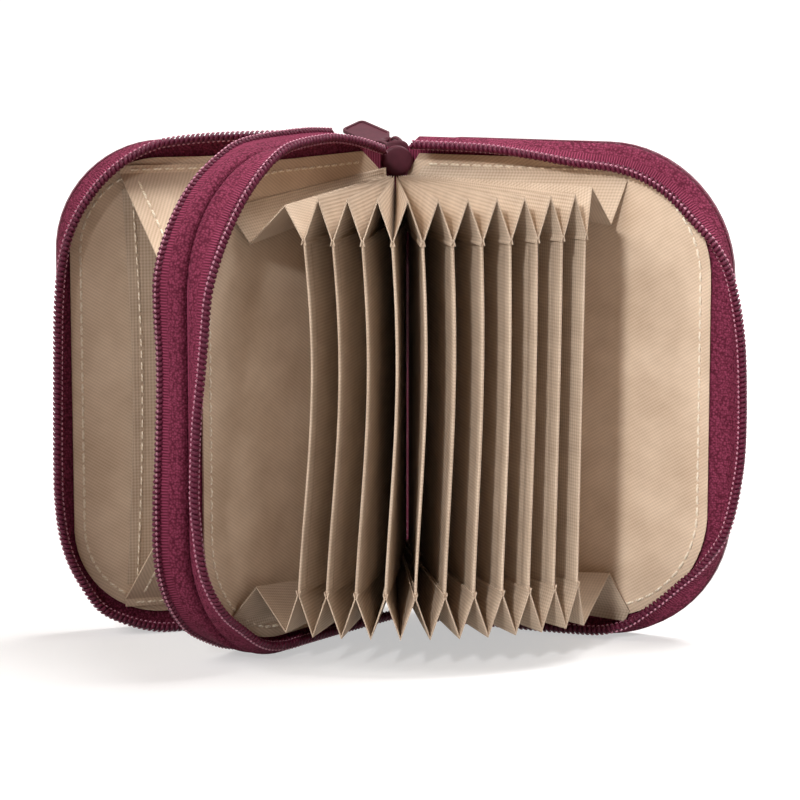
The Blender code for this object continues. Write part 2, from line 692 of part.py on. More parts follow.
def build_bodies():
    """The empties of all bodies: the wallet's root, the covers, the dividers and the sliders."""
    root = joint_empty("middle_leaf_body", None, turn(MIDDLE_LEAF_HEADING))
    bodies = {0: root}
    steps = [(MIDDLE_HALF + END_POCKET_GAP, FIRST_POCKET_OPEN)]
    steps += [(DIVIDER_PITCH, POCKET_OPEN)] * (DIVIDER_COUNT - 1)
    steps += [(END_POCKET_GAP, LAST_POCKET_OPEN)]
    transforms = {}
    for index, (pitch, angle) in enumerate(steps, start=1):
        name = f"divider_{index:02d}_body" if index < LAST_BODY else "right_cover_body"
        transforms[index] = Matrix.Translation((0, pitch, 0)) @ turn(angle)
        bodies[index] = joint_empty(name, bodies[index - 1], transforms[index])
    left_offset = MIDDLE_HALF + LEFT_COMPARTMENT_GAP
    transforms["left"] = Matrix.Translation((0, -left_offset, 0)) @ turn(-LEFT_COVER_OPEN)
    bodies["left"] = joint_empty("left_cover_body", root, transforms["left"])
    return bodies, transforms


def slider_body(zip_name, place, height, lie, body, finishes):
    """A slider and its tab on their own empties, set down by a place on the floor plan."""
    bpy.context.view_layer.update()
    world = Matrix.Translation((place[0], place[1], height))
    carrier = joint_empty(f"{zip_name}_slider_body", body, body.matrix_world.inverted() @ world)
    slider(zip_name, lie, carrier, finishes)
    frame = Matrix.Translation(bail_centre()) @ bar_frame(lie) @ turn(lie[-1], "X")
    hinge = joint_empty(f"{zip_name}_pull_tab_body", carrier, frame)
    pull_tab(zip_name, hinge, finishes)


def centre_on_floor(root):
    """Moves the whole wallet so that its origin lies under the middle of its box."""
    bpy.context.view_layer.update()
    low, high = Vector((math.inf,) * 3), Vector((-math.inf,) * 3)
    for obj in bpy.data.objects:
        if obj.type != "MESH" or obj.hide_render:
            continue
        for vertex in obj.data.vertices:
            place = obj.matrix_world @ vertex.co
            low = Vector(map(min, low, place))
            high = Vector(map(max, high, place))
    centre = (low + high) / 2
    root.matrix_local = Matrix.Translation((-centre.x, -centre.y, -low.z)) @ root.matrix_local


def build_wallet():
    """Builds the whole wallet, leaf by leaf."""
    clear_scene()
    finishes = build_finishes()
    bodies, transforms = build_bodies()
    root, right, left = bodies[0], bodies[LAST_BODY], bodies["left"]

    middle_leaf(root, finishes)
    zip_half("zip_a", "left", MIDDLE_A_FLARE_SHARES, ZIP_A_START, MIDDLE_TAPE_CENTRE, 1, root, finishes)
    zip_half("zip_b", "right", MIDDLE_B_FLARE_SHARES, ZIP_B_START, -MIDDLE_TAPE_CENTRE, -1, root, finishes)

    cover("right", 1, right, finishes)
    zip_half("zip_a", "right", RIGHT_FLARE_SHARES, ZIP_A_START, TAPE_ROOT_DEPTH, -1, right, finishes)

    cover("left", -1, left, finishes)
    zip_half("zip_b", "left", LEFT_FLARE_SHARES, ZIP_B_START, -TAPE_ROOT_DEPTH, 1, left, finishes)
    slip_pocket(left, finishes)
    leaf_in_left = transforms["left"].inverted()
    side_gusset("upper_side_gusset", True, leaf_in_left, left, finishes)
    side_gusset("lower_side_gusset", False, leaf_in_left, left, finishes)

    for index in range(1, DIVIDER_COUNT + 1):
        divider(index, bodies[index], finishes)
    outer_pleat(1, transforms[1].inverted(), Matrix.Identity(4), 1, bodies[1], finishes)
    for index in range(2, DIVIDER_COUNT + 1):
        inner_pleat(index, transforms[index].inverted(), bodies[index], finishes)
    outer_pleat(LAST_BODY, Matrix.Identity(4), transforms[LAST_BODY].inverted(), -1, right, finishes)

    bpy.context.view_layer.update()
    to_root = root.matrix_world.inverted()
    outer = LEATHER_DEPTH + LEATHER_THICKNESS + SPINE_CLEARANCE
    left_edge = to_root @ left.matrix_world @ Vector((0, -outer, 0))
    right_edge = to_root @ right.matrix_world @ Vector((0, outer, 0))
    spine_leather(left_edge, right_edge, root, finishes)

    carrier = bodies[SLIDER_A_DIVIDER]
    slider_body("zip_a", SLIDER_A_PLACE, HEIGHT - SLIDER_A_DROP, TAB_A_LIE, carrier, finishes)
    slider_body("zip_b", SLIDER_B_PLACE, HEIGHT - SLIDER_B_DROP, TAB_B_LIE, root, finishes)
    centre_on_floor(root)


build_wallet()
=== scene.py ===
"""Dresses an open two-compartment zip-around wallet in cloth, leather, nylon and painted metal.

All sizes are in millimetres unless a name says otherwise, and angles are in degrees.
"""

import json
import logging
import math
from collections.abc import Callable, Sequence
from dataclasses import dataclass
from enum import Enum

import bmesh
import bpy
from mathutils import Matrix, Vector


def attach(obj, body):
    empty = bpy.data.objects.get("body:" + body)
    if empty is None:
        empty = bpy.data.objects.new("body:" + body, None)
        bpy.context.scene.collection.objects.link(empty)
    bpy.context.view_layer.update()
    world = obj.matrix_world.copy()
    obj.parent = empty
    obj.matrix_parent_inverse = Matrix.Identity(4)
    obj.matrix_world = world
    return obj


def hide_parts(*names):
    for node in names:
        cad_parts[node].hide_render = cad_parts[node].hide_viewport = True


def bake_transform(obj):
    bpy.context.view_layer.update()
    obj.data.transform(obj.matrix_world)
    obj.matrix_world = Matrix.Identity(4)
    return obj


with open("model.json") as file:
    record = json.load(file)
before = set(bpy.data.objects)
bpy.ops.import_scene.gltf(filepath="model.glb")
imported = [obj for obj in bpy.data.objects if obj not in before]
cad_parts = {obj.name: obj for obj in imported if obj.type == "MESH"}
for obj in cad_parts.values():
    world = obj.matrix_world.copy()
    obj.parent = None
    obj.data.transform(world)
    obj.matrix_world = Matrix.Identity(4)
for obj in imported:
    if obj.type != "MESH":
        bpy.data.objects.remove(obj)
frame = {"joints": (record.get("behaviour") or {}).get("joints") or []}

LOG = logging.getLogger("wallet")
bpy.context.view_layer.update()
MM = 0.001
UP = Vector((0.0, 0.0, 1.0))
# Blender's wave texture has bands 0.314 units apart at a scale of 1, so this over a pitch is a scale.
WAVE = 0.314
LAST_DIVIDER = 11
LAST_POCKET = 12

Flat = tuple[float, float]
Surface = Callable[[float, float], float]
Socket = bpy.types.NodeSocket
Tree = bpy.types.NodeTree
Material = bpy.types.Material
Object = bpy.types.Object


class End(Enum):
    """Which end of the dividers or of a compartment a fold closes."""

    UPPER = "upper"
    LOWER = "lower"


class Side(Enum):
    """A side of a leaf, as the sign of that leaf's own sideways axis."""

    LEFT = -1
    RIGHT = 1


# Colours and nodes


def linear(hex_colour: str) -> tuple[float, float, float, float]:
    """Turns an sRGB hex colour into linear values.

    Args:
        hex_colour: A hash and six hex digits.

    Returns:
        Red, green, blue and an alpha of 1.
    """
    values = [int(hex_colour[start:start + 2], 16) / 255 for start in (1, 3, 5)]
    red, green, blue = (v / 12.92 if v <= 0.04045 else ((v + 0.055) / 1.055) ** 2.4 for v in values)
    return (red, green, blue, 1.0)


def add_node(
    tree: Tree,
    kind: str,
    settings: dict[str | int, object] | None = None,
    links: dict[str | int, Socket] | None = None,
    out: str | int = 0,
) -> Socket:
    """Adds one node with its settings and links.

    Args:
        tree: The node tree.
        kind: Blender's name for the node type, without ShaderNode in front.
        settings: Values by attribute name, or by input name or number.
        links: Sockets that feed the node's inputs, by input name or number.
        out: The output that is wanted, by name or number.

    Returns:
        That output.
    """
    node = tree.nodes.new("ShaderNode" + kind)
    for key, value in (settings or {}).items():
        if isinstance(key, str) and hasattr(node, key):
            setattr(node, key, value)
        else:
            node.inputs[key].default_value = value
    for key, socket in (links or {}).items():
        tree.links.new(socket, node.inputs[key])
    return node.outputs[out]


def seen_directly(tree: Tree) -> Socket:
    """Finds the rays that are to see white.

    Args:
        tree: The node tree.

    Returns:
        A value of 1 for camera, mirror and glass rays and of 0 for all others.
    """
    camera = add_node(tree, "LightPath", out="Is Camera Ray")
    rays, largest = camera.node.outputs, {"operation": "MAXIMUM"}
    mirror = add_node(tree, "Math", largest, {0: camera, 1: rays["Is Glossy Ray"]})
    return add_node(tree, "Math", largest, {0: mirror, 1: rays["Is Transmission Ray"]})


# Finishes


@dataclass(frozen=True)
class Finish:
    """What each finish below has: two shades that its pattern moves between, a gloss and a relief."""

    name: str
    dark: str
    light: str
    roughness: float = 0.8
    specular: float = 0.5
    relief: float = 0.05
    relief_strength: float = 0.5
    weight: float = 1.0
    gain: float = 1.0
    coordinates: str = "UV"

    def pattern(self, tree: Tree, place: Socket) -> tuple[Socket, Socket | None]:
        """Builds the pattern.

        Args:
            tree: The material's node tree.
            place: The surface's coordinates, in millimetres.

        Returns:
            The share between the shades and the relief's height, or no height on a smooth surface.
        """
        raise NotImplementedError

    def clouded(self, tree: Tree, height: Socket, clouds: Socket) -> Socket:
        """Adds soft clouds to a pattern.

        Args:
            tree: The material's node tree.
            height: The pattern, which counts with the finish's weight.
            clouds: The clouds.

        Returns:
            The share between the shades.
        """
        adding = {"operation": "MULTIPLY_ADD", 1: self.weight}
        total = add_node(tree, "Math", adding, {0: height, 2: clouds})
        return add_node(tree, "Math", {"operation": "MULTIPLY", 1: self.gain}, {0: total})

    def material(self) -> Material:
        """Builds the material.

        Returns:
            The material, with its shades and relief linked to its own shader.
        """
        material = bpy.data.materials.new(self.name)
        material.use_nodes = True
        tree = material.node_tree
        shader = tree.nodes["Principled BSDF"].inputs
        shader["Roughness"].default_value = self.roughness
        shader["Specular IOR Level"].default_value = self.specular
        share, height = self.pattern(tree, add_node(tree, "TexCoord", out=self.coordinates))
        ramp = add_node(tree, "ValToRGB", links={"Fac": share})
        for element, shade in zip(ramp.node.color_ramp.elements, (self.dark, self.light)):
            element.color = linear(shade)
        tree.links.new(ramp, shader["Base Color"])
        if height is not None:
            depth = {"Strength": self.relief_strength, "Distance": self.relief * MM}
            tree.links.new(add_node(tree, "Bump", depth, {"Height": height}), shader["Normal"])
        return material


@dataclass(frozen=True)
class TwillLining(Finish):
    """Fine polyester twill: slanting ribs that catch the light, and a little unevenness."""

    name: str = "beige_twill"
    dark: str = "#A3876C"
    light: str = "#E6D0B8"
    roughness: float = 0.82
    weight: float = 0.30
    gain: float = 0.92
    # Real ribs are about 0.4 mm apart; they are drawn coarser so that they show.
    rib_pitch: float = 0.66
    rib_slant: float = 58.0

    def pattern(self, tree: Tree, place: Socket) -> tuple[Socket, Socket | None]:
        """Slanting ribs, crossed by finer threads.

        Args:
            tree: The material's node tree.
            place: The surface's coordinates.

        Returns:
            The share between the shades, and the relief's height.
        """
        slant = {"Rotation": (0, 0, math.radians(self.rib_slant))}
        turned = {"Vector": add_node(tree, "Mapping", slant, {"Vector": place})}
        rib = {"bands_direction": "X", "Scale": WAVE / self.rib_pitch, "Distortion": 0.35,
               "Detail": 1.0, "Detail Scale": 2.0}
        ribs = add_node(tree, "TexWave", rib, turned, "Fac")
        thread = {"bands_direction": "Y", "Scale": WAVE / (self.rib_pitch * 0.8), "Distortion": 0.5}
        threads = add_node(tree, "TexWave", thread, turned, "Fac")
        adding = {"operation": "MULTIPLY_ADD", 1: 0.3}
        woven = add_node(tree, "Math", adding, {0: threads, 2: ribs})
        cloud = {"Scale": 0.09, "Detail": 3.0, "Roughness": 0.55}
        clouds = add_node(tree, "TexNoise", cloud, {"Vector": place})
        return self.clouded(tree, woven, clouds), woven


@dataclass(frozen=True)
class RibbedFabric(Finish):
    """Stiffened plain-weave fabric: fine even ribs, matt."""

    name: str = "beige_ribbed_fabric"
    dark: str = "#967F69"
    light: str = "#D6C2AC"
    relief: float = 0.055
    relief_strength: float = 0.6
    weight: float = 0.42
    gain: float = 0.72
    # Real threads are about 0.45 mm apart; they are drawn coarser so that they show.
    rib_pitch: float = 0.72

    def pattern(self, tree: Tree, place: Socket) -> tuple[Socket, Socket | None]:
        """Two crossed sets of threads.

        Args:
            tree: The material's node tree.
            place: The surface's coordinates.

        Returns:
            The share between the shades, and the relief's height.
        """
        thread = {"Scale": WAVE / self.rib_pitch, "Distortion": 0.3, "Detail": 1.0}
        warp, weft = (
            add_node(tree, "TexWave", {"bands_direction": way} | thread, {"Vector": place}, "Fac")
            for way in "XY"
        )
        adding = {"operation": "MULTIPLY_ADD", 1: 0.85}
        woven = add_node(tree, "Math", adding, {0: weft, 2: warp})
        clouds = add_node(tree, "TexNoise", {"Scale": 0.12, "Detail": 3.0}, {"Vector": place})
        return self.clouded(tree, woven, clouds), woven


@dataclass(frozen=True)
class WovenTape(Finish):
    """Woven polyester zip tape: knitted speckle by the leaf and cord ribs beside the coil."""

    name: str = "burgundy_zip_tape"
    dark: str = "#471022"
    light: str = "#9A425F"
    roughness: float = 0.85
    specular: float = 0.15
    relief: float = 0.22
    relief_strength: float = 0.7
    weight: float = 1.2
    speckle: float = 0.52
    rib_pitch: float = 0.62
    rib_band: Flat = (7.6, 8.4)

    def pattern(self, tree: Tree, place: Socket) -> tuple[Socket, Socket | None]:
        """Speckle that gives way to ribs; the second coordinate runs from sewn edge to coil.

        Args:
            tree: The material's node tree.
            place: The surface's coordinates.

        Returns:
            The share between the shades, and the relief's height.
        """
        cell = {"feature": "F1", "Scale": 1 / self.speckle, "Randomness": 0.75}
        cells = add_node(tree, "TexVoronoi", cell, {"Vector": place})
        bright = {"From Min": 0.1, "From Max": 0.75, "To Min": 1.0, "To Max": 0.0}
        knit = add_node(tree, "MapRange", bright, {"Value": cells})
        rib = {"bands_direction": "X", "Scale": WAVE / self.rib_pitch, "Distortion": 0.4, "Detail": 1.0}
        ribs = add_node(tree, "TexWave", rib, {"Vector": place}, "Fac")
        across = add_node(tree, "SeparateXYZ", links={0: place}, out="Y")
        limits = {"From Min": self.rib_band[0], "From Max": self.rib_band[1]}
        band = add_node(tree, "MapRange", limits, {"Value": across})
        mixed = {"Factor": band, 2: knit, 3: ribs}
        height = add_node(tree, "Mix", {"data_type": "FLOAT"}, mixed)
        clouds = add_node(tree, "TexNoise", {"Scale": 0.5, "Detail": 2.0}, {"Vector": place})
        soft = {"operation": "MULTIPLY_ADD", 1: 0.45, 2: 0.27}
        faint = add_node(tree, "Math", soft, {0: clouds})
        share = self.clouded(tree, height, faint)
        limits = {"From Min": 0.3, "From Max": 1.9}
        return add_node(tree, "MapRange", limits, {"Value": share}), height


@dataclass(frozen=True)
class NylonCoil(Finish):
    """Extruded nylon monofilament, wound and heat-set: smooth, with small sharp glints."""

    name: str = "burgundy_nylon"
    dark: str = "#430F24"
    light: str = "#691D39"
    roughness: float = 0.48
    specular: float = 0.25

    def pattern(self, tree: Tree, place: Socket) -> tuple[Socket, Socket | None]:
        """A slight change of shade along the coil."""
        return add_node(tree, "TexNoise", {"Scale": 0.8, "Detail": 1.0}, {"Vector": place}), None


@dataclass(frozen=True)
class SewingThread(Finish):
    """Twisted polyester sewing thread: slanting plies and a soft sheen."""

    roughness: float = 0.6
    ply_pitch: float = 0.45

    def pattern(self, tree: Tree, place: Socket) -> tuple[Socket, Socket | None]:
        """Slanting bands along the thread.

        Args:
            tree: The material's node tree.
            place: The surface's coordinates.

        Returns:
            The share between the shades, and the relief's height.
        """
        ply = {"bands_direction": "DIAGONAL", "Scale": WAVE / self.ply_pitch}
        plies = add_node(tree, "TexWave", ply, {"Vector": place}, "Fac")
        return plies, plies


@dataclass(frozen=True)
class GrainedLeather(Finish):
    """Chrome-tanned leather with a printed pebble grain and a thin satin top coat."""

    name: str = "burgundy_grained_leather"
    dark: str = "#4A1226"
    light: str = "#7A2742"
    roughness: float = 0.46
    relief: float = 0.12
    relief_strength: float = 0.6
    weight: float = 0.35
    gain: float = 0.8
    grain: float = 1.1

    def pattern(self, tree: Tree, place: Socket) -> tuple[Socket, Socket | None]:
        """Pebbles, darker in the creases between them.

        Args:
            tree: The material's node tree.
            place: The surface's coordinates.

        Returns:
            The share between the shades, and the relief's height.
        """
        noise = {"Scale": 0.9, "Detail": 2.0}
        wander = add_node(tree, "TexNoise", noise, {"Vector": place}, "Color")
        pushed = {"operation": "MULTIPLY_ADD", 1: (0.7, 0.7, 0.7)}
        bent = add_node(tree, "VectorMath", pushed, {0: wander, 2: place})
        cell = {"feature": "DISTANCE_TO_EDGE", "Scale": 1 / self.grain}
        pebbles = add_node(tree, "TexVoronoi", cell, {"Vector": bent})
        height = add_node(tree, "MapRange", {"From Min": 0.0, "From Max": 0.22}, {"Value": pebbles})
        clouds = add_node(tree, "TexNoise", {"Scale": 0.06, "Detail": 4.0}, {"Vector": place})
        return self.clouded(tree, height, clouds), height


@dataclass(frozen=True)
class PaintedZinc(Finish):
    """Die-cast zinc with satin stove enamel: smooth, with a faint orange-peel ripple."""

    name: str = "burgundy_painted_zinc"
    dark: str = "#3E1722"
    light: str = "#5A2633"
    roughness: float = 0.48
    specular: float = 0.2
    relief: float = 0.02
    relief_strength: float = 0.4
    ripple: float = 1.4

    def pattern(self, tree: Tree, place: Socket) -> tuple[Socket, Socket | None]:
        """A soft change of shade over the ripple.

        Args:
            tree: The material's node tree.
            place: The surface's coordinates.

        Returns:
            The share between the shades, and the relief's height.
        """
        shade = add_node(tree, "TexNoise", {"Scale": 0.5, "Detail": 2.0}, {"Vector": place})
        peel = {"Scale": self.ripple, "Detail": 1.0}
        return shade, add_node(tree, "TexNoise", peel, {"Vector": place})


@dataclass(frozen=True)
class PressedBoard(Finish):
    """Grey pressed board that stiffens a cover: matt, with flecks of fibre."""

    name: str = "pressed_board"
    dark: str = "#8D857A"
    light: str = "#B3AA9C"
    roughness: float = 0.95
    relief: float = 0.03
    relief_strength: float = 0.4
    coordinates: str = "Object"
    fleck: float = 0.8

    def pattern(self, tree: Tree, place: Socket) -> tuple[Socket, Socket | None]:
        """Fine noise in the part's own space, which is in metres.

        Args:
            tree: The material's node tree.
            place: The surface's coordinates.

        Returns:
            The share between the shades, and the relief's height.
        """
        fibre = {"Scale": 1 / (self.fleck * MM), "Detail": 3.0}
        flecks = add_node(tree, "TexNoise", fibre, {"Vector": place})
        return flecks, flecks


@dataclass(frozen=True)
class StudioFloor:
    """Plain white painted floor: it keeps a soft shadow and shows white to the camera."""

    name: str = "white_floor"
    colour: str = "#C3C3C3"
    roughness: float = 0.9
    lift: float = 0.49
    near_metres: float = 0.15
    far_metres: float = 0.6

    def material(self) -> Material:
        """Builds the floor's paint.

        Returns:
            The material, which glows white for camera, mirror and glass rays, more so further out.
        """
        material = bpy.data.materials.new(self.name)
        material.use_nodes = True
        tree = material.node_tree
        shader = tree.nodes["Principled BSDF"]
        shader.inputs["Base Color"].default_value = linear(self.colour)
        shader.inputs["Roughness"].default_value = self.roughness
        shader.inputs["Specular IOR Level"].default_value = 0.0
        place = add_node(tree, "TexCoord", out="Object")
        distance = add_node(tree, "VectorMath", {"operation": "LENGTH"}, {0: place}, "Value")
        limits = {"From Min": self.near_metres, "From Max": self.far_metres, "To Min": self.lift}
        lift = add_node(tree, "MapRange", limits, {"Value": distance})
        lifted = {0: seen_directly(tree), 1: lift}
        strength = add_node(tree, "Math", {"operation": "MULTIPLY"}, lifted)
        glow = add_node(tree, "Emission", {"Color": (1, 1, 1, 1)}, {"Strength": strength})
        both = add_node(tree, "AddShader", links={0: shader.outputs["BSDF"], 1: glow})
        tree.links.new(both, tree.nodes["Material Output"].inputs["Surface"])
        return material


class Finishes:
    """Every finish of the wallet, each built once."""

    def __init__(self) -> None:
        """Builds the materials."""
        self.lining = TwillLining().material()
        self.fabric = RibbedFabric().material()
        self.tape = WovenTape().material()
        self.coil = NylonCoil().material()
        self.leather = GrainedLeather().material()
        self.zinc = PaintedZinc().material()
        self.board = PressedBoard().material()
        self.cream_thread = SewingThread("cream_thread", "#E6D4B8", "#FFF6E6").material()
        self.rose_thread = SewingThread("rose_thread", "#95526B", "#D398AB").material()


# Measuring and drawing


def unit(angle: float) -> Vector:
    """Direction in the floor's plane at an angle."""
    return Vector((math.cos(math.radians(angle)), math.sin(math.radians(angle)), 0.0))


def rotation(axis: str, angle: float) -> Matrix:
    """A turn by an angle about an axis."""
    return Matrix.Rotation(math.radians(angle), 3, axis)


def evenly(first: float, last: float, count: int) -> list[float]:
    """Values from the first to the last in a count of even steps."""
    return [first + (last - first) * step / count for step in range(count + 1)]


def smooth_share(share: float) -> float:
    """Eases a share from 0 to 1 with a flat start and end."""
    share = min(max(share, 0.0), 1.0)
    return share * share * (3 - 2 * share)


def runs_of(path: Sequence[Vector] | Sequence[Flat]) -> list[float]:
    """Distances along a path.

    Args:
        path: The path's points.

    Returns:
        The distance from the path's start to each of its points.
    """
    runs = [0.0]
    for first, second in zip(path, path[1:]):
        runs.append(runs[-1] + math.dist(first, second))
    return runs


def along_table(table: Sequence[Flat], share: float) -> float:
    """Reads a value from a table, on a smooth curve through its entries.

    Args:
        table: Shares in rising order, each with a value.
        share: The share to read at.

    Returns:
        The value there.
    """
    last = len(table) - 1
    place = next((i for i in range(last) if share <= table[i + 1][0]), last - 1)
    (start, low), (end, high) = table[place], table[place + 1]
    before, after = table[max(place - 1, 0)], table[min(place + 2, last)]
    span = end - start
    rise = (high - before[1]) / (end - before[0]) * span
    fall = (after[1] - low) / (after[0] - start) * span
    t = min(max((share - start) / span, 0.0), 1.0)
    return (
        low * (2 * t**3 - 3 * t**2 + 1) + rise * (t**3 - 2 * t**2 + t)
        + high * (3 * t**2 - 2 * t**3) + fall * (t**3 - t**2)
    )


def arc(centre: Flat, radius: float, start: float, end: float, steps: int) -> list[Flat]:
    """Draws an arc.

    Args:
        centre: Its centre.
        radius: Its radius.
        start: The angle where it starts.
        end: The angle where it ends.
        steps: The number of steps between.

    Returns:
        The arc's points.
    """
    angles = [math.radians(angle) for angle in evenly(start, end, steps)]
    return [(centre[0] + radius * math.cos(a), centre[1] + radius * math.sin(a)) for a in angles]


@dataclass(frozen=True)
class BodyFrame:
    """A body's own axes at rest: out to the fore edge, sideways to the right cover, and up."""

    name: str
    x: float
    y: float
    heading: float

    @property
    def sideways(self) -> Vector:
        """The direction of the body's sideways axis."""
        return unit(self.heading + 90)

    def place(self, out: float, sideways: float, up: float = 0.0) -> Vector:
        """Turns the body's own millimetres into a place in the wallet's frame."""
        spot = unit(self.heading) * out + self.sideways * sideways
        return Vector((self.x + spot.x, self.y + spot.y, up))


@dataclass(frozen=True)
class Bend:
    """A soft piece's place between two bodies: one body at its start, and another one at its end. Only the
    bodies' names are read, for the log.
    """

    first: BodyFrame
    second: BodyFrame
    start: Vector
    end: Vector


def fit(obj: Object, on: str | Bend, slot: str, *nodes: str) -> None:
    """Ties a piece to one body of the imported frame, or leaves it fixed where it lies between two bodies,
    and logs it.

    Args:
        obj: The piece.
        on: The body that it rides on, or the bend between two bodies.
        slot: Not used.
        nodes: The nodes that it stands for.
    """
    if isinstance(on, Bend):
        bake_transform(obj)
        on = f"{on.first.name} and {on.second.name}"
    else:
        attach(obj, on)
    if nodes:
        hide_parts(*nodes)
    LOG.info("%s is on %s", obj.name, on)


class Draft:
    """A mesh under construction, with surface coordinates in millimetres."""

    def __init__(self) -> None:
        """Starts with nothing in it."""
        self.points: list[Vector] = []
        self.cloth: list[Flat] = []
        self.faces: list[tuple[int, ...]] = []

    def point(self, place: Vector, cloth: Flat) -> int:
        """Adds a point.

        Args:
            place: Where it is.
            cloth: Its surface coordinates.

        Returns:
            Its number.
        """
        self.points.append(place * MM)
        self.cloth.append(cloth)
        return len(self.points) - 1

    def skin(self, rows: Sequence[Sequence[int]], closed: bool = False) -> None:
        """Joins rows of points with quads.

        Args:
            rows: Rows of point numbers, all of one length.
            closed: Whether each row runs round to its own start.
        """
        for row, next_row in zip(rows, rows[1:]):
            for index in range(len(row) if closed else len(row) - 1):
                follower = (index + 1) % len(row)
                self.faces.append((row[index], row[follower], next_row[follower], next_row[index]))

    def loft(self, rings: Sequence[Sequence[int]]) -> None:
        """Skins closed rings and caps both ends."""
        self.skin(rings, closed=True)
        self.faces += [tuple(rings[0]), tuple(rings[-1])]

    def flip(self, height: float) -> None:
        """Turns everything upside down within a height."""
        for place in self.points:
            place.z = height * MM - place.z

    def layer(
        self, body: BodyFrame, rows: Sequence[tuple[float, Sequence[float]]], near: Surface, far: Surface
    ) -> None:
        """Adds a closed layer between two surfaces.

        Args:
            body: The axes of the body that it lies on.
            rows: Each row's height, with its places outward.
            near: The first surface's sideways place, from out and up.
            far: The second surface's sideways place.
        """
        sheets = []
        for surface in (near, far):
            sheets.append([
                [self.point(body.place(out, surface(out, up), up), (out, up)) for out in outs]
                for up, outs in rows
            ])
            self.skin(sheets[-1])
        for end in (0, -1):
            self.skin([sheet[end] for sheet in sheets])
            self.skin([[row[end] for row in sheet] for sheet in sheets])

    def ribbon(
        self,
        lines: Sequence[Sequence[Vector]],
        axes: Sequence[Vector],
        half: float | Sequence[Sequence[float]],
        runs: Sequence[float],
        mitred: bool = False,
    ) -> None:
        """Adds a strip from its line at each of its stations.

        Args:
            lines: The line across the strip at each station, all with as many points.
            axes: The direction that each line's thickness is square to.
            half: Half of the thickness, or its value at every point of every line.
            runs: Each station's place along the strip.
            mitred: Whether the strip keeps its thickness at sharp folds.
        """
        rings = []
        for number, (line, axis, run) in enumerate(zip(lines, axes, runs)):
            near, far = [], []
            for index, (point, across) in enumerate(zip(line, runs_of(line))):
                before, after = line[max(index - 1, 0)], line[min(index + 1, len(line) - 1)]
                thick = half if isinstance(half, float) else half[number][index]
                offset = axis.cross(after - before).normalized() * thick
                if mitred and 0 < index < len(line) - 1:
                    came, goes = (axis.cross(way.normalized()) for way in (point - before, after - point))
                    mitre = (came + goes).normalized()
                    offset = mitre * thick / max(mitre.dot(goes.normalized()), 0.35)
                near.append(self.point(point + offset, (across, run)))
                far.append(self.point(point - offset, (across, run)))
            rings.append(near + far[::-1])
        self.loft(rings)

    def upright(self, line: Sequence[Vector], halves: Sequence[float], levels: Sequence[Flat]) -> None:
        """Adds an upright strip along a line on the floor.

        Args:
            line: The points of the line.
            halves: Half of the strip's thickness at each point.
            levels: Its heights, each with the share of the thickness there.
        """
        lines = [[Vector((p.x, p.y, up)) for p in line] for up, _ in levels]
        shares = [[half * share for half in halves] for _, share in levels]
        self.ribbon(lines, [UP] * len(levels), shares, [up for up, _ in levels])

    def tube(self, path: Sequence[Vector], radii: Sequence[float], sides: int) -> None:
        """Adds a tube along a path.

        Args:
            path: The points of its centreline.
            radii: Its radius at each point.
            sides: The number of its sides.
        """
        rings, across = [], None
        for index, (centre, radius, run) in enumerate(zip(path, radii, runs_of(path))):
            ahead = (path[min(index + 1, len(path) - 1)] - path[max(index - 1, 0)]).normalized()
            across = across or ahead.orthogonal().normalized()
            across = (across - ahead * across.dot(ahead)).normalized()
            over = ahead.cross(across)
            ring = []
            for angle in evenly(0, 2 * math.pi, sides)[:-1]:
                offset = (across * math.cos(angle) + over * math.sin(angle)) * radius
                ring.append(self.point(centre + offset, (run, radius * angle)))
            rings.append(ring)
        self.loft(rings)

    def stitches(
        self, path: Sequence[Vector], outward: Vector, radius: float, pitch: float = 2.6, length: float = 2.0
    ) -> None:
        """Adds a run of stitches along a seam, each one arching out of the cloth and back in.

        Args:
            path: The seam.
            outward: The cloth's outward direction.
            radius: The thread's radius.
            pitch: The distance from stitch to stitch.
            length: How much of each stitch shows.
        """
        runs = runs_of(path)
        for number in range(int((runs[-1] - length) / pitch) + 1):
            line = []
            for share in evenly(0, 1, 5):
                run = number * pitch + length * share
                index = next((i for i in range(len(path) - 2) if run <= runs[i + 1]), len(path) - 2)
                along = (run - runs[index]) / (runs[index + 1] - runs[index])
                rise = math.sin(math.pi * share) ** 0.6 * 1.3 - 0.8
                line.append(path[index].lerp(path[index + 1], along) + outward * rise * radius)
            self.tube(line, [radius * share for share in (0.75, 1, 1, 1, 1, 0.75)], 6)

    def build(self, name: str, material: Material, sharp: float = 50.0, bevel: float = 0.0) -> Object:
        """Turns the draft into an object.

        Args:
            name: The object's name.
            material: Its material.
            sharp: The angle from which an edge stays sharp.
            bevel: The width of a rounding on its sharp edges, or 0.

        Returns:
            The new object.
        """
        mesh = bpy.data.meshes.new(name)
        mesh.from_pydata([tuple(p) for p in self.points], [], self.faces)
        layer = mesh.uv_layers.new(name="cloth")
        for loop in mesh.loops:
            layer.data[loop.index].uv = self.cloth[loop.vertex_index]
        tidy = bmesh.new()
        tidy.from_mesh(mesh)
        bmesh.ops.recalc_face_normals(tidy, faces=tidy.faces)
        if tidy.calc_volume(signed=True) < 0:
            bmesh.ops.reverse_faces(tidy, faces=tidy.faces)
        tidy.to_mesh(mesh)
        tidy.free()
        mesh.materials.append(material)
        mesh.shade_smooth()
        mesh.set_sharp_from_angle(angle=math.radians(sharp))
        obj = bpy.data.objects.new(name, mesh)
        bpy.context.scene.collection.objects.link(obj)
        if bevel:
            rounding = obj.modifiers.new("rounding", "BEVEL")
            rounding.width = bevel * MM
            rounding.segments = 3
            rounding.limit_method = "ANGLE"
            rounding.angle_limit = math.radians(sharp)
            rounding.use_clamp_overlap = True
        return obj

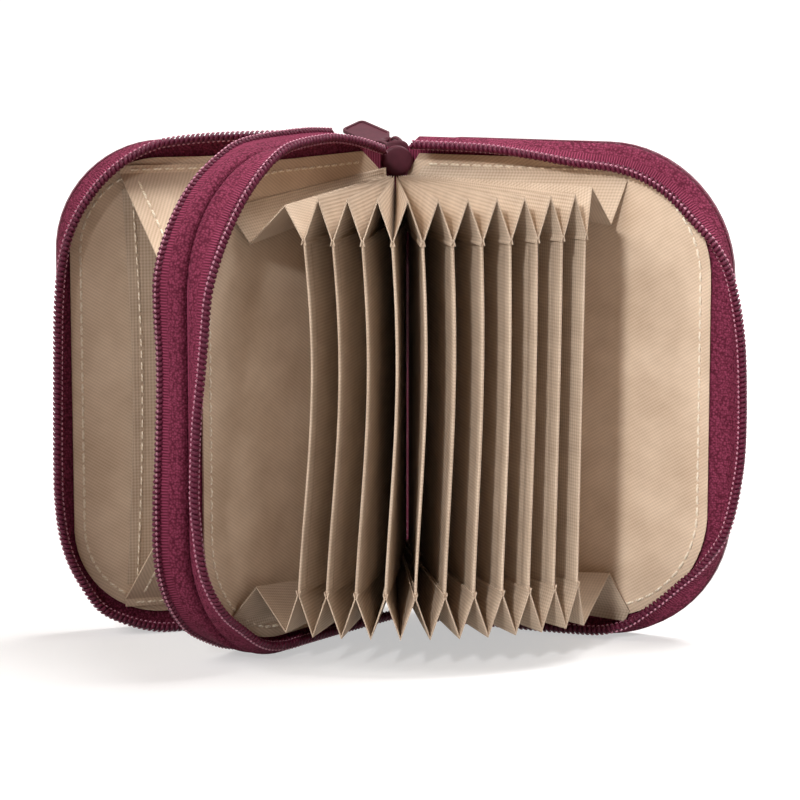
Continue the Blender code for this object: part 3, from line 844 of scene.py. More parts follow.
    def dress(
        self, name: str, material: Material, on: str | Bend, slot: str, *nodes: str,
        sharp: float = 50.0, bevel: float = 0.0,
    ) -> Object:
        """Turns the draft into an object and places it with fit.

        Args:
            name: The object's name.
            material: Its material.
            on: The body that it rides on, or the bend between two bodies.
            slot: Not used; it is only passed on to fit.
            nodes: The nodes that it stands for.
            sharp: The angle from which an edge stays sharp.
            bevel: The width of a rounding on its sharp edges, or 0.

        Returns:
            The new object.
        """
        obj = self.build(name, material, sharp, bevel)
        fit(obj, on, slot, *nodes)
        return obj


# Leaves


@dataclass(frozen=True)
class LeafShape:
    """Outline and layers that the three leaves share."""

    height: float = 110.0
    width: float = 70.0
    fore_radius: float = 29.0
    spine_radius: float = 6.0
    lining_inset: float = 3.8
    lining_thickness: float = 0.4
    cut_height: float = 4.6
    leather_depth: float = 1.6
    leather_thickness: float = 1.2
    tape_root_depth: float = 1.0
    middle_tape_centre: float = 0.8
    middle_lining_start: float = 1.3
    board_rows: int = 44
    board_columns: int = 20

    @property
    def middle_face(self) -> float:
        """How far each lining's face lies from the middle leaf's own plane."""
        return self.middle_lining_start + self.lining_thickness

    def span(self, up: float, inset: float, back: float, spine_radius: float) -> Flat:
        """How far a layer reaches at one height.

        Args:
            up: The height.
            inset: How far the layer stays inside the leaf's outline.
            back: Where the layer starts from the spine.
            spine_radius: The radius of its corners at the spine.

        Returns:
            The layer's inner and outer limits.
        """
        radius = self.fore_radius - inset
        edge = min(up - inset, self.height - inset - up)
        inner, outer = back, self.width - inset
        if edge < radius:
            outer += math.sqrt(max(radius**2 - (radius - edge) ** 2, 0.0)) - radius
        if edge < spine_radius:
            inner += spine_radius - math.sqrt(max(spine_radius**2 - (spine_radius - edge) ** 2, 0.0))
        return inner, outer

    def rows(self, inset: float, count: int) -> list[float]:
        """Heights of a layer's rows, closer together towards its top and bottom."""
        half = self.height / 2 - inset
        return [self.height / 2 - half * math.cos(angle) for angle in evenly(0, math.pi, count)]

    def panel(
        self, body: BodyFrame, heights: Sequence[float], reach: Callable[[float], Flat],
        near: Surface, far: Surface, columns: int,
    ) -> Draft:
        """Drafts a closed layer between two surfaces.

        Args:
            body: The body's own axes.
            heights: The heights of its rows.
            reach: Its inner and outer limits at a height.
            near: Its first surface's sideways place, from out and up.
            far: Its second surface's sideways place.
            columns: How many columns of faces it has.

        Returns:
            The layer's draft.
        """
        draft = Draft()
        draft.layer(body, [(up, evenly(*reach(up), columns)) for up in heights], near, far)
        return draft

    def board(self, body: BodyFrame, inset: float, back: float, near: float, far: float) -> Draft:
        """Drafts a flat board with rounded corners.

        Args:
            body: The body's own axes.
            inset: How far it stays inside the leaf's outline.
            back: Where it starts from the spine.
            near: Its first face's sideways place.
            far: Its second face's sideways place.

        Returns:
            The board's draft.
        """
        return self.panel(
            body, self.rows(inset, self.board_rows),
            lambda up: self.span(up, inset, back, self.spine_radius),
            lambda out, up: near, lambda out, up: far, self.board_columns,
        )


SHAPE = LeafShape()


@dataclass
class Lining:
    """One twill lining, stitched along its top, fore edge and bottom."""

    finishes: Finishes
    body: BodyFrame
    name: str
    node: str
    face: float
    facing: Side
    back: float
    stitch_start: float
    cut_width: float = 3.0
    wider: float = 0.0
    taller: float = 0.0
    shape: LeafShape = SHAPE
    low_back: float = 1.0
    low_back_from: float = 98.0
    low_back_run: float = 4.0
    low_stitch_gap: float = 5.0
    stitch_inset: float = 2.3
    thread_radius: float = 0.30
    swell: float = 0.12
    swell_out: float = 0.11
    swell_up: float = 0.05
    swell_tall: float = 0.083
    swell_shift: float = 0.6
    hollow: float = -0.05
    flat_run: float = 12.0
    rows: int = 56
    columns: int = 36

    def back_at(self, up: float) -> float:
        """Where the cloth starts from the spine at one height: further back towards its top."""
        low = max(self.low_back, self.back)
        return self.back + (low - self.back) * smooth_share((self.low_back_from - up) / self.low_back_run)

    def raised(self, up: float) -> float:
        """A height on the cloth, raised towards the top where the lining is taller than its shape."""
        middle = self.shape.height / 2
        return up + self.taller * max((up - middle) / (middle - self.shape.lining_inset), 0.0)

    def lowered(self, up: float) -> float:
        """Undoes what raised does.

        Args:
            up: A raised height.

        Returns:
            The height on the plain shape that it comes from.
        """
        middle = self.shape.height / 2
        half = middle - self.shape.lining_inset
        return up if up < middle else middle + (up - middle) * half / (half + self.taller)

    def span(self, up: float) -> Flat:
        """How far the cloth reaches at one height, with a slanted cut at each corner by the spine.

        Args:
            up: The height on the cloth.

        Returns:
            Its inner and outer limits.
        """
        shape, low = self.shape, self.lowered(up)
        _, outer = shape.span(low, shape.lining_inset, 0.0, 0.0)
        edge = min(low - shape.lining_inset, shape.height - shape.lining_inset - low)
        return self.back_at(up) + self.cut_width * max(1 - edge / shape.cut_height, 0.0), outer + self.wider

    def surface(self, out: float, up: float) -> float:
        """Places the lining's face, which swells a little away from its seam.

        Args:
            out: The place outward.
            up: The height.

        Returns:
            The sideways place.
        """
        shape, inset = self.shape, self.shape.lining_inset
        leaning = math.sin(out * self.swell_out + up * self.swell_up)
        swell = self.swell * leaning * math.sin(up * self.swell_tall + self.swell_shift)
        edge = min(up - inset, shape.height - inset - up, shape.width - inset - out)
        return self.face + self.facing.value * max(swell, self.hollow) * smooth_share(edge / self.flat_run)

    def seam(self) -> list[Vector]:
        """Draws the stitch line.

        Returns:
            Its points, from the spine over the top and round to the bottom.
        """
        inset = self.shape.lining_inset + self.stitch_inset
        radius = self.shape.fore_radius - inset
        low, high, fore = inset, self.shape.height - inset, self.shape.width - inset + self.wider
        points = [(self.stitch_start, high)]
        points += arc((fore - radius, high - radius), radius, 90, 0, 12)
        points += arc((fore - radius, low + radius), radius, 0, -90, 12)
        points += [(max(self.stitch_start, self.low_back + self.low_stitch_gap), low)]
        return [self.body.place(out, self.surface(out, up), self.raised(up)) for out, up in points]

    def build(self) -> None:
        """Builds the cloth and its stitches."""
        shape, sign, body = self.shape, self.facing.value, self.body.name
        heights = [self.raised(up) for up in shape.rows(shape.lining_inset, self.rows)]
        rear = self.face - sign * shape.lining_thickness
        cloth = shape.panel(self.body, heights, self.span, self.surface, lambda out, up: rear, self.columns)
        cloth.dress(f"{self.name}_cloth", self.finishes.lining, body, "lining_twill", self.node)
        thread = Draft()
        thread.stitches(self.seam(), self.body.sideways * sign, self.thread_radius)
        thread.dress(f"{self.name}_stitching", self.finishes.cream_thread, body, "lining_twill")


@dataclass
class Cover:
    """A cover: grained leather outside, a board inside, and a stitched lining."""

    finishes: Finishes
    body: BodyFrame
    side: Side
    lining_back: float
    stitch_start: float
    wider: float = 0.0
    shape: LeafShape = SHAPE
    edge_round: float = 0.5
    leather_swell: float = 0.12
    swell_out: float = 0.09
    swell_up: float = 0.07
    rows: int = 44
    columns: int = 30
    board_inset: float = 5.4
    board_back: float = 0.8
    board_gap: float = 0.3

    def build(self) -> None:
        """Builds the leather, the lining and the board."""
        name, shape, sign = self.body.name, self.shape, self.side.value
        inner, outer = shape.leather_depth, shape.leather_depth + shape.leather_thickness

        def outside(out: float, up: float) -> float:
            """Places the leather's outside, which swells a little.

            Args:
                out: The place outward.
                up: The height.

            Returns:
                The sideways place.
            """
            swell = math.sin(out * self.swell_out) * math.sin(up * self.swell_up)
            return sign * (outer + self.leather_swell * swell)

        leather = shape.panel(
            self.body, shape.rows(0.0, self.rows), lambda up: shape.span(up, 0.0, 0.0, shape.spine_radius),
            lambda out, up: sign * inner, outside, self.columns,
        )
        leather.dress(f"{name}_outer_leather", self.finishes.leather, name, "leather", f"{name}_leather",
                      bevel=self.edge_round)
        Lining(self.finishes, self.body, f"{name}_lining", f"{name}_lining", 0.0, Side(-sign),
               self.lining_back, self.stitch_start, wider=self.wider, shape=shape).build()
        near, far = shape.lining_thickness + self.board_gap, inner - self.board_gap
        board = shape.board(self.body, self.board_inset, self.board_back, sign * near, sign * far)
        board.dress(f"{name}_pressed_board", self.finishes.board, name, "board", f"{name}_board")


@dataclass
class MiddleLeaf:
    """The middle leaf: a bound core between two linings."""

    finishes: Finishes
    body: BodyFrame
    core_inset: float = 1.4
    core_back: float = 3.4
    core_half: float = 0.3
    cut_width: float = 6.6
    stitch_gap: float = 8.0
    left_back: float = 3.2
    right_back: float = 4.6
    right_taller: float = 1.4

    def build(self) -> None:
        """Builds the core and both linings."""
        name = self.body.name
        core = SHAPE.board(self.body, self.core_inset, self.core_back, -self.core_half, self.core_half)
        core.dress(f"{name}_bound_core", self.finishes.tape, name, "leaf_edge", f"{name}_board")
        for side, back, taller in ((Side.LEFT, self.left_back, 0.0),
                                   (Side.RIGHT, self.right_back, self.right_taller)):
            word = side.name.lower()
            Lining(self.finishes, self.body, f"{name}_{word}_lining", f"{name}_lining_{word}",
                   side.value * SHAPE.middle_face, side, back, back + self.stitch_gap, self.cut_width,
                   taller=taller).build()


# Zips


@dataclass
class ZipHalf:
    """One half of a zip: its tape, the wound coil on its free edge, and the coil's sewing."""

    finishes: Finishes
    body: BodyFrame
    zip_name: str
    word: str
    root: float
    side: Side
    start: float
    flares: Sequence[Flat]
    partner: BodyFrame
    give: float
    tail: Sequence[Vector] = ()
    low_start: float = 3.0
    shape: LeafShape = SHAPE
    tail_low: float = 99.6
    tail_high: float = 107.6
    half_thickness: float = 0.2
    root_reach: float = 5.0
    bend_inset: float = 1.2
    bend_run: float = 2.4
    free_width: float = 5.7
    coil_gap: float = 0.95
    coil_across: float = 0.70
    coil_through: float = 0.50
    wire_radius: float = 0.48
    # A real fine coil has a turn every 0.9 mm or so; these are drawn coarser so that they show.
    tooth_pitch: float = 1.12
    steps_per_turn: int = 9
    # The sewing's radius at the start, middle and end of each stitch.
    sewing_radii: Sequence[float] = (0.15, 0.26, 0.15)
    station_pitch: float = 1.3
    corner_steps: int = 22
    section_steps: int = 9

    def edge(self) -> list[tuple[Flat, Flat]]:
        """Walks along the leaf's edge.

        Returns:
            Places from the spine over the top and round to the bottom, each with its outward direction.
        """
        height, width, radius = self.shape.height, self.shape.width, self.shape.fore_radius
        end = width - radius
        straights = (
            ((self.start, height), (end, height), 90),
            ((width, height - radius), (width, radius), 0),
            ((end, 0.0), (self.low_start, 0.0), -90),
        )
        places: list[tuple[Flat, Flat]] = []
        for first, last, heading in straights:
            (across, up), = arc((0.0, 0.0), 1.0, heading, heading, 1)[:1]
            count = max(int(math.dist(first, last) / self.station_pitch), 1)
            steps = zip(evenly(first[0], last[0], count), evenly(first[1], last[1], count))
            places += [(place, (across, up)) for place in list(steps)[:-1]]
            if heading >= 0:
                turn = arc((0.0, 0.0), 1.0, heading, heading - 90, self.corner_steps)[:-1]
                x, y = last[0] - radius * across, last[1] - radius * up
                places += [((x + radius * bend[0], y + radius * bend[1]), bend) for bend in turn]
        return places + [((self.low_start, 0.0), (0.0, -1.0))]

    def section(self, flare: float) -> list[Flat]:
        """Draws the tape's line across its width at one place.

        Args:
            flare: How far the free part has turned out of the leaf's plane.

        Returns:
            Outward and sideways place of each point, the last being the coil's centre.
        """
        out, turned = -self.bend_inset, 0.0
        points = [(-self.root_reach, 0.0), (out, turned)]
        total = self.free_width + self.coil_gap
        for step in range(self.section_steps):
            run = total * (step + 0.5) / self.section_steps
            angle = math.radians(flare * smooth_share(run / self.bend_run + 0.1))
            out += math.cos(angle) * total / self.section_steps
            turned += math.sin(angle) * total / self.section_steps
            points.append((out, turned))
        return points

    def lines(self) -> tuple[list[float], list[list[Vector]], list[Vector]]:
        """Places the line across the zip half all along the edge.

        Returns:
            Runs along the edge, the line at each, and the direction that is square to each.
        """
        places = self.edge()
        runs = runs_of([place for place, _ in places])
        sign = self.side.value
        lines, axes = [], []
        for run, ((x, y), (across, up)) in zip(runs, places):
            section = self.section(along_table(self.flares, run / runs[-1]))
            lines.append([self.body.place(x + across * out, self.root + sign * turned, y + up * out)
                          for out, turned in section])
            outward = unit(self.body.heading) * across + UP * up
            axes.append(outward.cross(self.body.sideways * sign))
        return runs, lines, axes

    def bend(self) -> Bend:
        """Names the leaf and the next one, which a piece of the zip half lies between.

        Returns:
            The bend, from the leaf's middle to a point that lies the half's give out to its side.
        """
        half = self.shape.width / 2
        return Bend(self.body, self.partner, self.body.place(half, 0.0),
                    self.body.place(half, self.side.value * self.give))

    def coil(self, lines: Sequence[Sequence[Vector]], axes: Sequence[Vector]) -> None:
        """Builds the wound nylon wire, its core cord and the rows of sewing that hold it.

        Args:
            lines: The line across the zip half at each place along the edge.
            axes: The direction that is square to each.
        """
        centres = [line[-1] for line in lines]
        acrosses = [(line[-1] - line[-3]).normalized() for line in lines]
        throughs = [axis.cross(across) for axis, across in zip(axes, acrosses)]
        runs = runs_of(centres)
        steps = int(runs[-1] / self.tooth_pitch) * self.steps_per_turn
        row_height = self.coil_through + self.wire_radius * 0.85
        wire: list[Vector] = []
        rows: list[list[Vector]] = [[], []]
        index = 0
        for step, run in enumerate(evenly(0.0, runs[-1], steps)):
            while index < len(runs) - 2 and runs[index + 1] < run:
                index += 1
            share = (run - runs[index]) / (runs[index + 1] - runs[index])
            centre, across, through = (
                values[index].lerp(values[index + 1], share) for values in (centres, acrosses, throughs)
            )
            angle = 2 * math.pi * step / self.steps_per_turn
            wire.append(centre + across * self.coil_across * math.cos(angle)
                        + through * self.coil_through * math.sin(angle))
            if step % self.steps_per_turn == 0:
                for row, sign in zip(rows, (1, -1)):
                    row.append(centre - across * self.coil_across * 0.15 + through * sign * row_height)
        turns = Draft()
        turns.tube(wire, [self.wire_radius] * len(wire), 5)
        turns.tube(centres, [self.coil_through] * len(centres), 6)
        name = f"{self.zip_name}_{self.word}_coil"
        turns.dress(f"{name}_turns", self.finishes.coil, self.bend(), "zip_coil",
                    f"{self.zip_name}_coil_{self.word}", sharp=80)
        sewing = Draft()
        for row in rows:
            for first, second in zip(row, row[1:]):
                middle, run = first.lerp(second, 0.5), (second - first) * 0.30
                sewing.tube([middle - run, middle, middle + run], self.sewing_radii, 6)
        sewing.dress(f"{name}_sewing", self.finishes.rose_thread, self.bend(), "zip_coil", sharp=80)

    def build(self) -> None:
        """Builds the tape, its end behind the slider, the coil and the coil's sewing."""
        runs, lines, axes = self.lines()
        name = f"{self.zip_name}_{self.word}_tape"
        tape = Draft()
        tape.ribbon([line[:-1] for line in lines], axes, self.half_thickness, runs)
        tape.cloth = [(run, across) for across, run in tape.cloth]
        tape.dress(f"{name}_cloth", self.finishes.tape, self.bend(), "zip_tape",
                   f"{self.zip_name}_tape_{self.word}", sharp=70)
        if self.tail:
            end = Draft()
            levels = [(up, 1.0) for up in evenly(self.tail_low, self.tail_high, 6)]
            end.upright(self.tail, [self.half_thickness] * len(self.tail), levels)
            end.dress(f"{name}_end", self.finishes.tape, self.body.name, "zip_tape")
        self.coil(lines, axes)


# The card fan


@dataclass(frozen=True)
class OuterFold:
    """The line of a wide fold at the fan's front edge: places out along its leaf, and up."""

    sewn: Flat
    valley: Flat
    valley_spread: float
    ridge_share: float
    ridge_up: float


OUTER_FOLDS = {
    (1, End.UPPER): OuterFold((56.4, 96.7), (53.2, 90.9), 2.0, 0.33, 99.6),
    (1, End.LOWER): OuterFold((58.4, 99.9), (53.0, 93.0), 3.0, 0.29, 101.3),
    (LAST_POCKET, End.UPPER): OuterFold((46.1, 102.0), (43.4, 92.3), 3.0, 0.18, 102.3),
    (LAST_POCKET, End.LOWER): OuterFold((47.6, 104.4), (43.8, 95.6), 3.0, 0.18, 102.3),
}


@dataclass
class CardFan:
    """The fan: dividers with folded front edges, and pleats that close each pocket."""

    finishes: Finishes
    bodies: Sequence[BodyFrame]
    bottom: float = 17.4
    top: float = 92.6
    reach: float = 56.0
    back: float = 1.0
    thickness: float = 0.42
    hem_thickness: float = 0.62
    hem_width: float = 3.2
    hem_round: float = 0.3
    # The cloth reaches past the hem at the first divider and less far at each one after it.
    front_past: float = 0.4
    front_loss: float = 2.0
    front_curve: float = 1.3
    # Places of the columns in the hem, as distances from the front edge.
    hem_columns: Sequence[float] = (3.3, 3.1, 2.0, 1.0, 0.3, 0.18, 0.06, 0.0)
    plain_end: float = 4.0
    plain_columns: int = 12
    rows: int = 36
    first_bow: float = 2.2
    bow_skew: float = 1.3
    drift: float = -0.69
    drift_rise: float = 0.3
    lean: float = 1.5
    gather_out: float = 4.0
    gather_share: float = 0.42
    gather_width: float = 0.5
    gather_rise: float = -0.2
    pleat_depth: float = 9.0
    pleat_thickness: float = 0.26
    pleat_lead: float = 0.3
    foot_rise: float = 0.25
    seat: float = 0.15
    lap: float = 0.9
    stations: int = 14
    hem_depth: float = 0.22
    # How far each point of a wide fold's line lies above its foot at the back.
    back_rises: Sequence[float] = (10.6, 10.6, 10.6, 5.0, 6.6, 8.6, 6.6, 4.8, 3.8)

    def front(self, number: int) -> float:
        """How far a divider's cloth reaches: less towards the right cover."""
        share = (number - 1) / (LAST_DIVIDER - 1)
        return self.reach + self.front_past - self.front_loss * share**self.front_curve

    def bow(self, number: int, out: float, up: float) -> float:
        """How far a divider's cloth lies to the right of its own plane.

        Args:
            number: The divider's number.
            out: The place outward.
            up: The height.

        Returns:
            The distance to the right.
        """
        share = (up - self.bottom) / (self.top - self.bottom)
        swell = math.sin(math.pi * min(max(share, 0.0), 1.0) ** self.bow_skew)
        place = (number - 1) / (LAST_DIVIDER - 1)
        full = self.first_bow * (1 - place) * swell
        drift = self.drift + self.drift_rise * place + place**2
        drift -= self.lean * min(max(1 - share, 0.0), 1.0)
        return (full + drift) * max((out - self.back) / (self.reach - self.back), 0.0) ** 2

    def divider(self, number: int) -> None:
        """Builds one divider with its thicker folded front edge.

        Args:
            number: The divider's number.
        """
        body, front = self.bodies[number], self.front(number)

        def half(out: float) -> float:
            """Works out half of its thickness.

            Args:
                out: The place outward.

            Returns:
                The half, which is more at the front hem and rounded at the very edge.
            """
            lead = front - out
            thick = self.hem_thickness if lead < self.hem_width else self.thickness
            return thick / 2 * math.sqrt(max(1 - max(1 - lead / self.hem_round, 0.0) ** 2, 0.05))

        outs = evenly(self.back, front - self.plain_end, self.plain_columns)
        outs += [front - lead for lead in self.hem_columns]
        draft = Draft()
        draft.layer(body, [(up, outs) for up in evenly(self.bottom, self.top, self.rows)],
                    lambda out, up: self.bow(number, out, up) - half(out),
                    lambda out, up: self.bow(number, out, up) + half(out))
        name = f"divider_{number:02d}"
        draft.dress(f"{name}_cloth", self.finishes.fabric, body.name, "divider_fabric", name)

    @property
    def lap_half(self) -> float:
        """How far a pleat's lap lies from the middle of its divider."""
        return self.hem_thickness / 2 + self.pleat_thickness / 2 + 0.02

    def front_line(self, number: int, end: End) -> list[Vector]:
        """Draws the roof's line at the front edges of two dividers, as at the upper end.

        Args:
            number: The pocket's number.
            end: The end that the roof closes.

        Returns:
            The line's points.
        """
        left, right = self.bodies[number - 1], self.bodies[number]
        before, after = self.front(number - 1) + self.pleat_lead, self.front(number) + self.pleat_lead
        low, foot = self.top - self.lap, self.top + self.foot_rise
        level = low if end is End.UPPER else self.bottom + self.lap
        shift, drift = self.bow(number - 1, before, level), self.bow(number, after, level)
        a0 = left.place(before, self.lap_half + shift, low)
        a1 = left.place(before, self.seat + shift, foot)
        b1 = right.place(after, -self.seat + drift, foot)
        b0 = right.place(after, -self.lap_half + drift, low)
        half = (b1 - a1).length / 2
        ridge = (a1 + b1) / 2
        ridge.z = foot + math.sqrt(max(self.pleat_depth**2 - half**2, 1.0))
        return [a0, a1.lerp(a0, 0.12), a1, a1.lerp(ridge, 0.5), ridge, b1.lerp(ridge, 0.5), b1,
                b1.lerp(b0, 0.12), b0]

    def gathered(self, number: int, line: Sequence[Vector]) -> list[Vector]:
        """Presses a fold narrow, into its place in a short row behind the slider.

        Args:
            number: The pocket's number.
            line: The fold's line at the front.

        Returns:
            Its line at the back.
        """
        first, last = self.bodies[0].place(self.gather_out, 0.0), self.bodies[-1].place(0.0, 0.0)
        middle = first.lerp(last, self.gather_share)
        middle += self.bodies[6].sideways * (number - (LAST_POCKET + 1) / 2) * self.gather_width
        across = unit((self.bodies[number - 1].heading + self.bodies[number].heading) / 2 + 90)
        chord = line[-1] - line[0]
        gathered = []
        for point in line:
            share = (point - line[0]).dot(chord) / chord.length**2 - 0.5
            place = middle + across * share * self.gather_width
            gathered.append(Vector((place.x, place.y, point.z + self.gather_rise)))
        return gathered

    def outer_lines(self, number: int, end: End) -> tuple[list[Vector], list[Vector]]:
        """Draws the wide fold between an end divider and a lining, as at the upper end.

        Args:
            number: The pocket's number, the first or the last.
            end: The end that the fold closes.

        Returns:
            Its lines at the back and at the front.
        """
        fold, foot_up = OUTER_FOLDS[number, end], self.top + self.foot_rise
        if number == 1:
            leaf, sign, divider, hem, back_out = self.bodies[0], 1, 1, SHAPE.middle_face + self.hem_depth, 3.0
        else:
            leaf, sign, divider, hem, back_out = self.bodies[-1], -1, LAST_DIVIDER, self.hem_depth, -2.0
        front = self.front(divider) + self.pleat_lead
        drift = self.bow(divider, front, self.top if end is End.UPPER else self.bottom)
        sewn = leaf.place(fold.sewn[0], sign * hem, fold.sewn[1])
        sewn_up = leaf.place(fold.sewn[0] - 1.0, sign * hem, fold.sewn[1] + 2.4)
        valley = leaf.place(fold.valley[0], sign * (hem + fold.valley_spread), fold.valley[1])
        foot = self.bodies[divider].place(front, drift - sign * self.seat, foot_up)
        low = self.bodies[divider].place(front, drift - sign * self.lap_half, self.top - self.lap)
        ridge = foot.lerp(valley, fold.ridge_share)
        ridge.z = fold.ridge_up
        edge = [sewn_up, sewn, sewn.lerp(valley, 0.5), valley, valley.lerp(ridge, 0.5), ridge,
                foot.lerp(ridge, 0.5), foot, low]
        back = self.gathered(number, edge)
        back[:3] = [leaf.place(back_out, sign * hem) for _ in range(3)]
        for point, rise in zip(back, self.back_rises):
            point.z = foot_up + rise
        return back, edge

    def pleat(self, number: int, end: End) -> None:
        """Builds the fold at one end of a pocket, between its two dividers.

        Args:
            number: The pocket's number.
            end: The end that the fold closes.
        """
        if number in (1, LAST_POCKET):
            back, front = self.outer_lines(number, end)
        else:
            front = self.front_line(number, end)
            back = self.gathered(number, front)
        lines = [[a.lerp(b, share) for a, b in zip(back, front)] for share in evenly(0, 1, self.stations)]
        axes = [(line[-1] - line[0]).cross(UP).normalized() for line in lines]
        draft = Draft()
        draft.ribbon(lines, axes, self.pleat_thickness / 2, runs_of([line[0] for line in lines]), mitred=True)
        if end is End.LOWER:
            draft.flip(self.top + self.bottom)
        start, finish = (Vector((p.x, p.y, 0.0)) for p in (front[0], front[-1]))
        if number == LAST_POCKET:
            start, finish = finish, start
        bend = Bend(self.bodies[number - 1], self.bodies[number], start, finish)
        name = f"{end.value}_pleat_{number:02d}"
        strip = draft.dress(f"{name}_cloth", self.finishes.fabric, bend, "pleat_fabric", name, sharp=35)

    def build(self) -> None:
        """Builds every divider and every fold."""
        for number in range(1, LAST_DIVIDER + 1):
            self.divider(number)
        for number in range(1, LAST_POCKET + 1):
            for end in End:
                self.pleat(number, end)


# The side compartment


@dataclass
class SideCompartment:
    """The left-hand compartment: a slip pocket on the cover and a folded gusset at each end."""

    finishes: Finishes
    cover: BodyFrame
    leaf: BodyFrame
    pocket_reach: float = 55.6
    pocket_start: float = 3.0
    pocket_margin: float = 10.5
    pocket_gap: float = 0.3
    pocket_thickness: float = 0.35
    pocket_gape: float = 0.9
    gape_start: float = 20.0
    gape_run: float = 36.0
    pocket_curve: float = 1.6
    pocket_rows: int = 48
    pocket_columns: int = 40
    pocket_thread_radius: float = 0.22
    hem_width: float = 3.0
    hem_rise: float = 0.15
    seam_inset: float = 2.2
    gusset_out: Flat = (8.0, 56.0)
    gusset_drop: Flat = (3.0, 22.5)
    gusset_margin: float = 7.2
    gusset_depth: float = 0.45
    gusset_thickness: float = 0.28
    gusset_stations: int = 14
    gusset_thread_radius: float = 0.26
    thread_lift: float = 0.3
    hem_shares: Sequence[float] = (0.08, 0.3, 0.5, 0.7, 0.96)
    flap_height: float = 1.8
    flap_outs: Sequence[float] = (10.0, 25.0, 40.0, 55.0)

    def mouth(self, up: float) -> float:
        """Where the pocket's mouth lies at one height: it curves in a little half way up."""
        share = (up - self.pocket_margin) / (SHAPE.height - 2 * self.pocket_margin)
        return self.pocket_reach - self.pocket_curve * math.sin(math.pi * share)

    def pocket_face(self, out: float, up: float) -> float:
        """Places the pocket's front, which gapes towards its mouth.

        Args:
            out: The place outward.
            up: The height.

        Returns:
            The sideways place.
        """
        share = (up - self.pocket_margin) / (SHAPE.height - 2 * self.pocket_margin)
        opened = smooth_share((out - self.gape_start) / self.gape_run)
        gape = self.pocket_gape * opened * math.sin(math.pi * share)
        hem = self.hem_rise if out > self.pocket_reach - self.hem_width else 0.0
        return self.pocket_gap + self.pocket_thickness + gape + hem

    def pocket(self) -> None:
        """Builds the slip pocket and the stitches of its hem."""
        heights = evenly(self.pocket_margin, SHAPE.height - self.pocket_margin, self.pocket_rows)
        cloth = SHAPE.panel(
            self.cover, heights, lambda up: (self.pocket_start, self.mouth(up)), self.pocket_face,
            lambda out, up: self.pocket_face(out, up) - self.pocket_thickness, self.pocket_columns,
        )
        cloth.dress("slip_pocket_cloth", self.finishes.fabric, self.cover.name, "pleat_fabric", "slip_pocket")
        outs = [(self.mouth(up) - self.seam_inset, up) for up in heights[1:-1]]
        seam = [self.cover.place(out, self.pocket_face(out, up), up) for out, up in outs]
        thread = Draft()
        thread.stitches(seam, self.cover.sideways, self.pocket_thread_radius)
        thread.dress("slip_pocket_stitching", self.finishes.cream_thread, self.cover.name, "pleat_fabric")

    def gusset_line(self, out: float, drop: float) -> list[Vector]:
        """Draws the gusset's line from the cover to the middle leaf, as at the upper end.

        Args:
            out: The place outward.
            drop: How far the fold hangs down.

        Returns:
            The line's points.
        """
        top = SHAPE.height - self.gusset_margin
        near = self.cover.place(out, self.gusset_depth, top)
        far = self.leaf.place(out, -SHAPE.middle_face - self.gusset_depth, top)
        flap = Vector((0.0, 0.0, self.flap_height))
        fold = (near + far) / 2
        fold.z = top - drop
        return [near + flap, near, near.lerp(fold, 0.33), near.lerp(fold, 0.67), fold,
                fold.lerp(far, 0.33), fold.lerp(far, 0.67), far, far + flap]

    def gusset(self, end: End) -> None:
        """Builds the folded gusset at one end of the compartment, and its stitches.

        Args:
            end: The end that it closes.
        """
        outs, drops = (evenly(*ends, self.gusset_stations) for ends in (self.gusset_out, self.gusset_drop))
        lines = [self.gusset_line(out, drop) for out, drop in zip(outs, drops)]
        axes = [(line[-1] - line[0]).cross(UP).normalized() for line in lines]
        draft = Draft()
        draft.ribbon(lines, axes, self.gusset_thickness / 2, outs)
        if end is End.LOWER:
            draft.flip(SHAPE.height)
        start, finish = (body.place(self.gusset_out[1], 0.0) for body in (self.leaf, self.cover))
        bend = Bend(self.leaf, self.cover, start, finish)
        name = f"{end.value}_side_gusset"
        strip = draft.dress(f"{name}_cloth", self.finishes.lining, bend, "pleat_fabric", name, sharp=35)
        near, fold, lift = lines[-2][1], lines[-2][4], self.cover.sideways * self.thread_lift
        hem = [near.lerp(fold, share) + lift for share in self.hem_shares]
        face = self.gusset_depth + self.gusset_thickness / 2
        flap_up = SHAPE.height - self.gusset_margin + self.flap_height / 2
        flap = [self.cover.place(out, face, flap_up) for out in self.flap_outs]
        thread = Draft()
        for seam in (hem, flap):
            if end is End.LOWER:
                seam = [Vector((p.x, p.y, SHAPE.height - p.z)) for p in seam]
            thread.stitches(seam, self.cover.sideways, self.gusset_thread_radius)
        thread.dress(f"{name}_stitching", self.finishes.cream_thread, bend, "pleat_fabric")

    def build(self) -> None:
        """Builds the pocket and both gussets."""
        self.pocket()
        for end in End:
            self.gusset(end)


# The spine


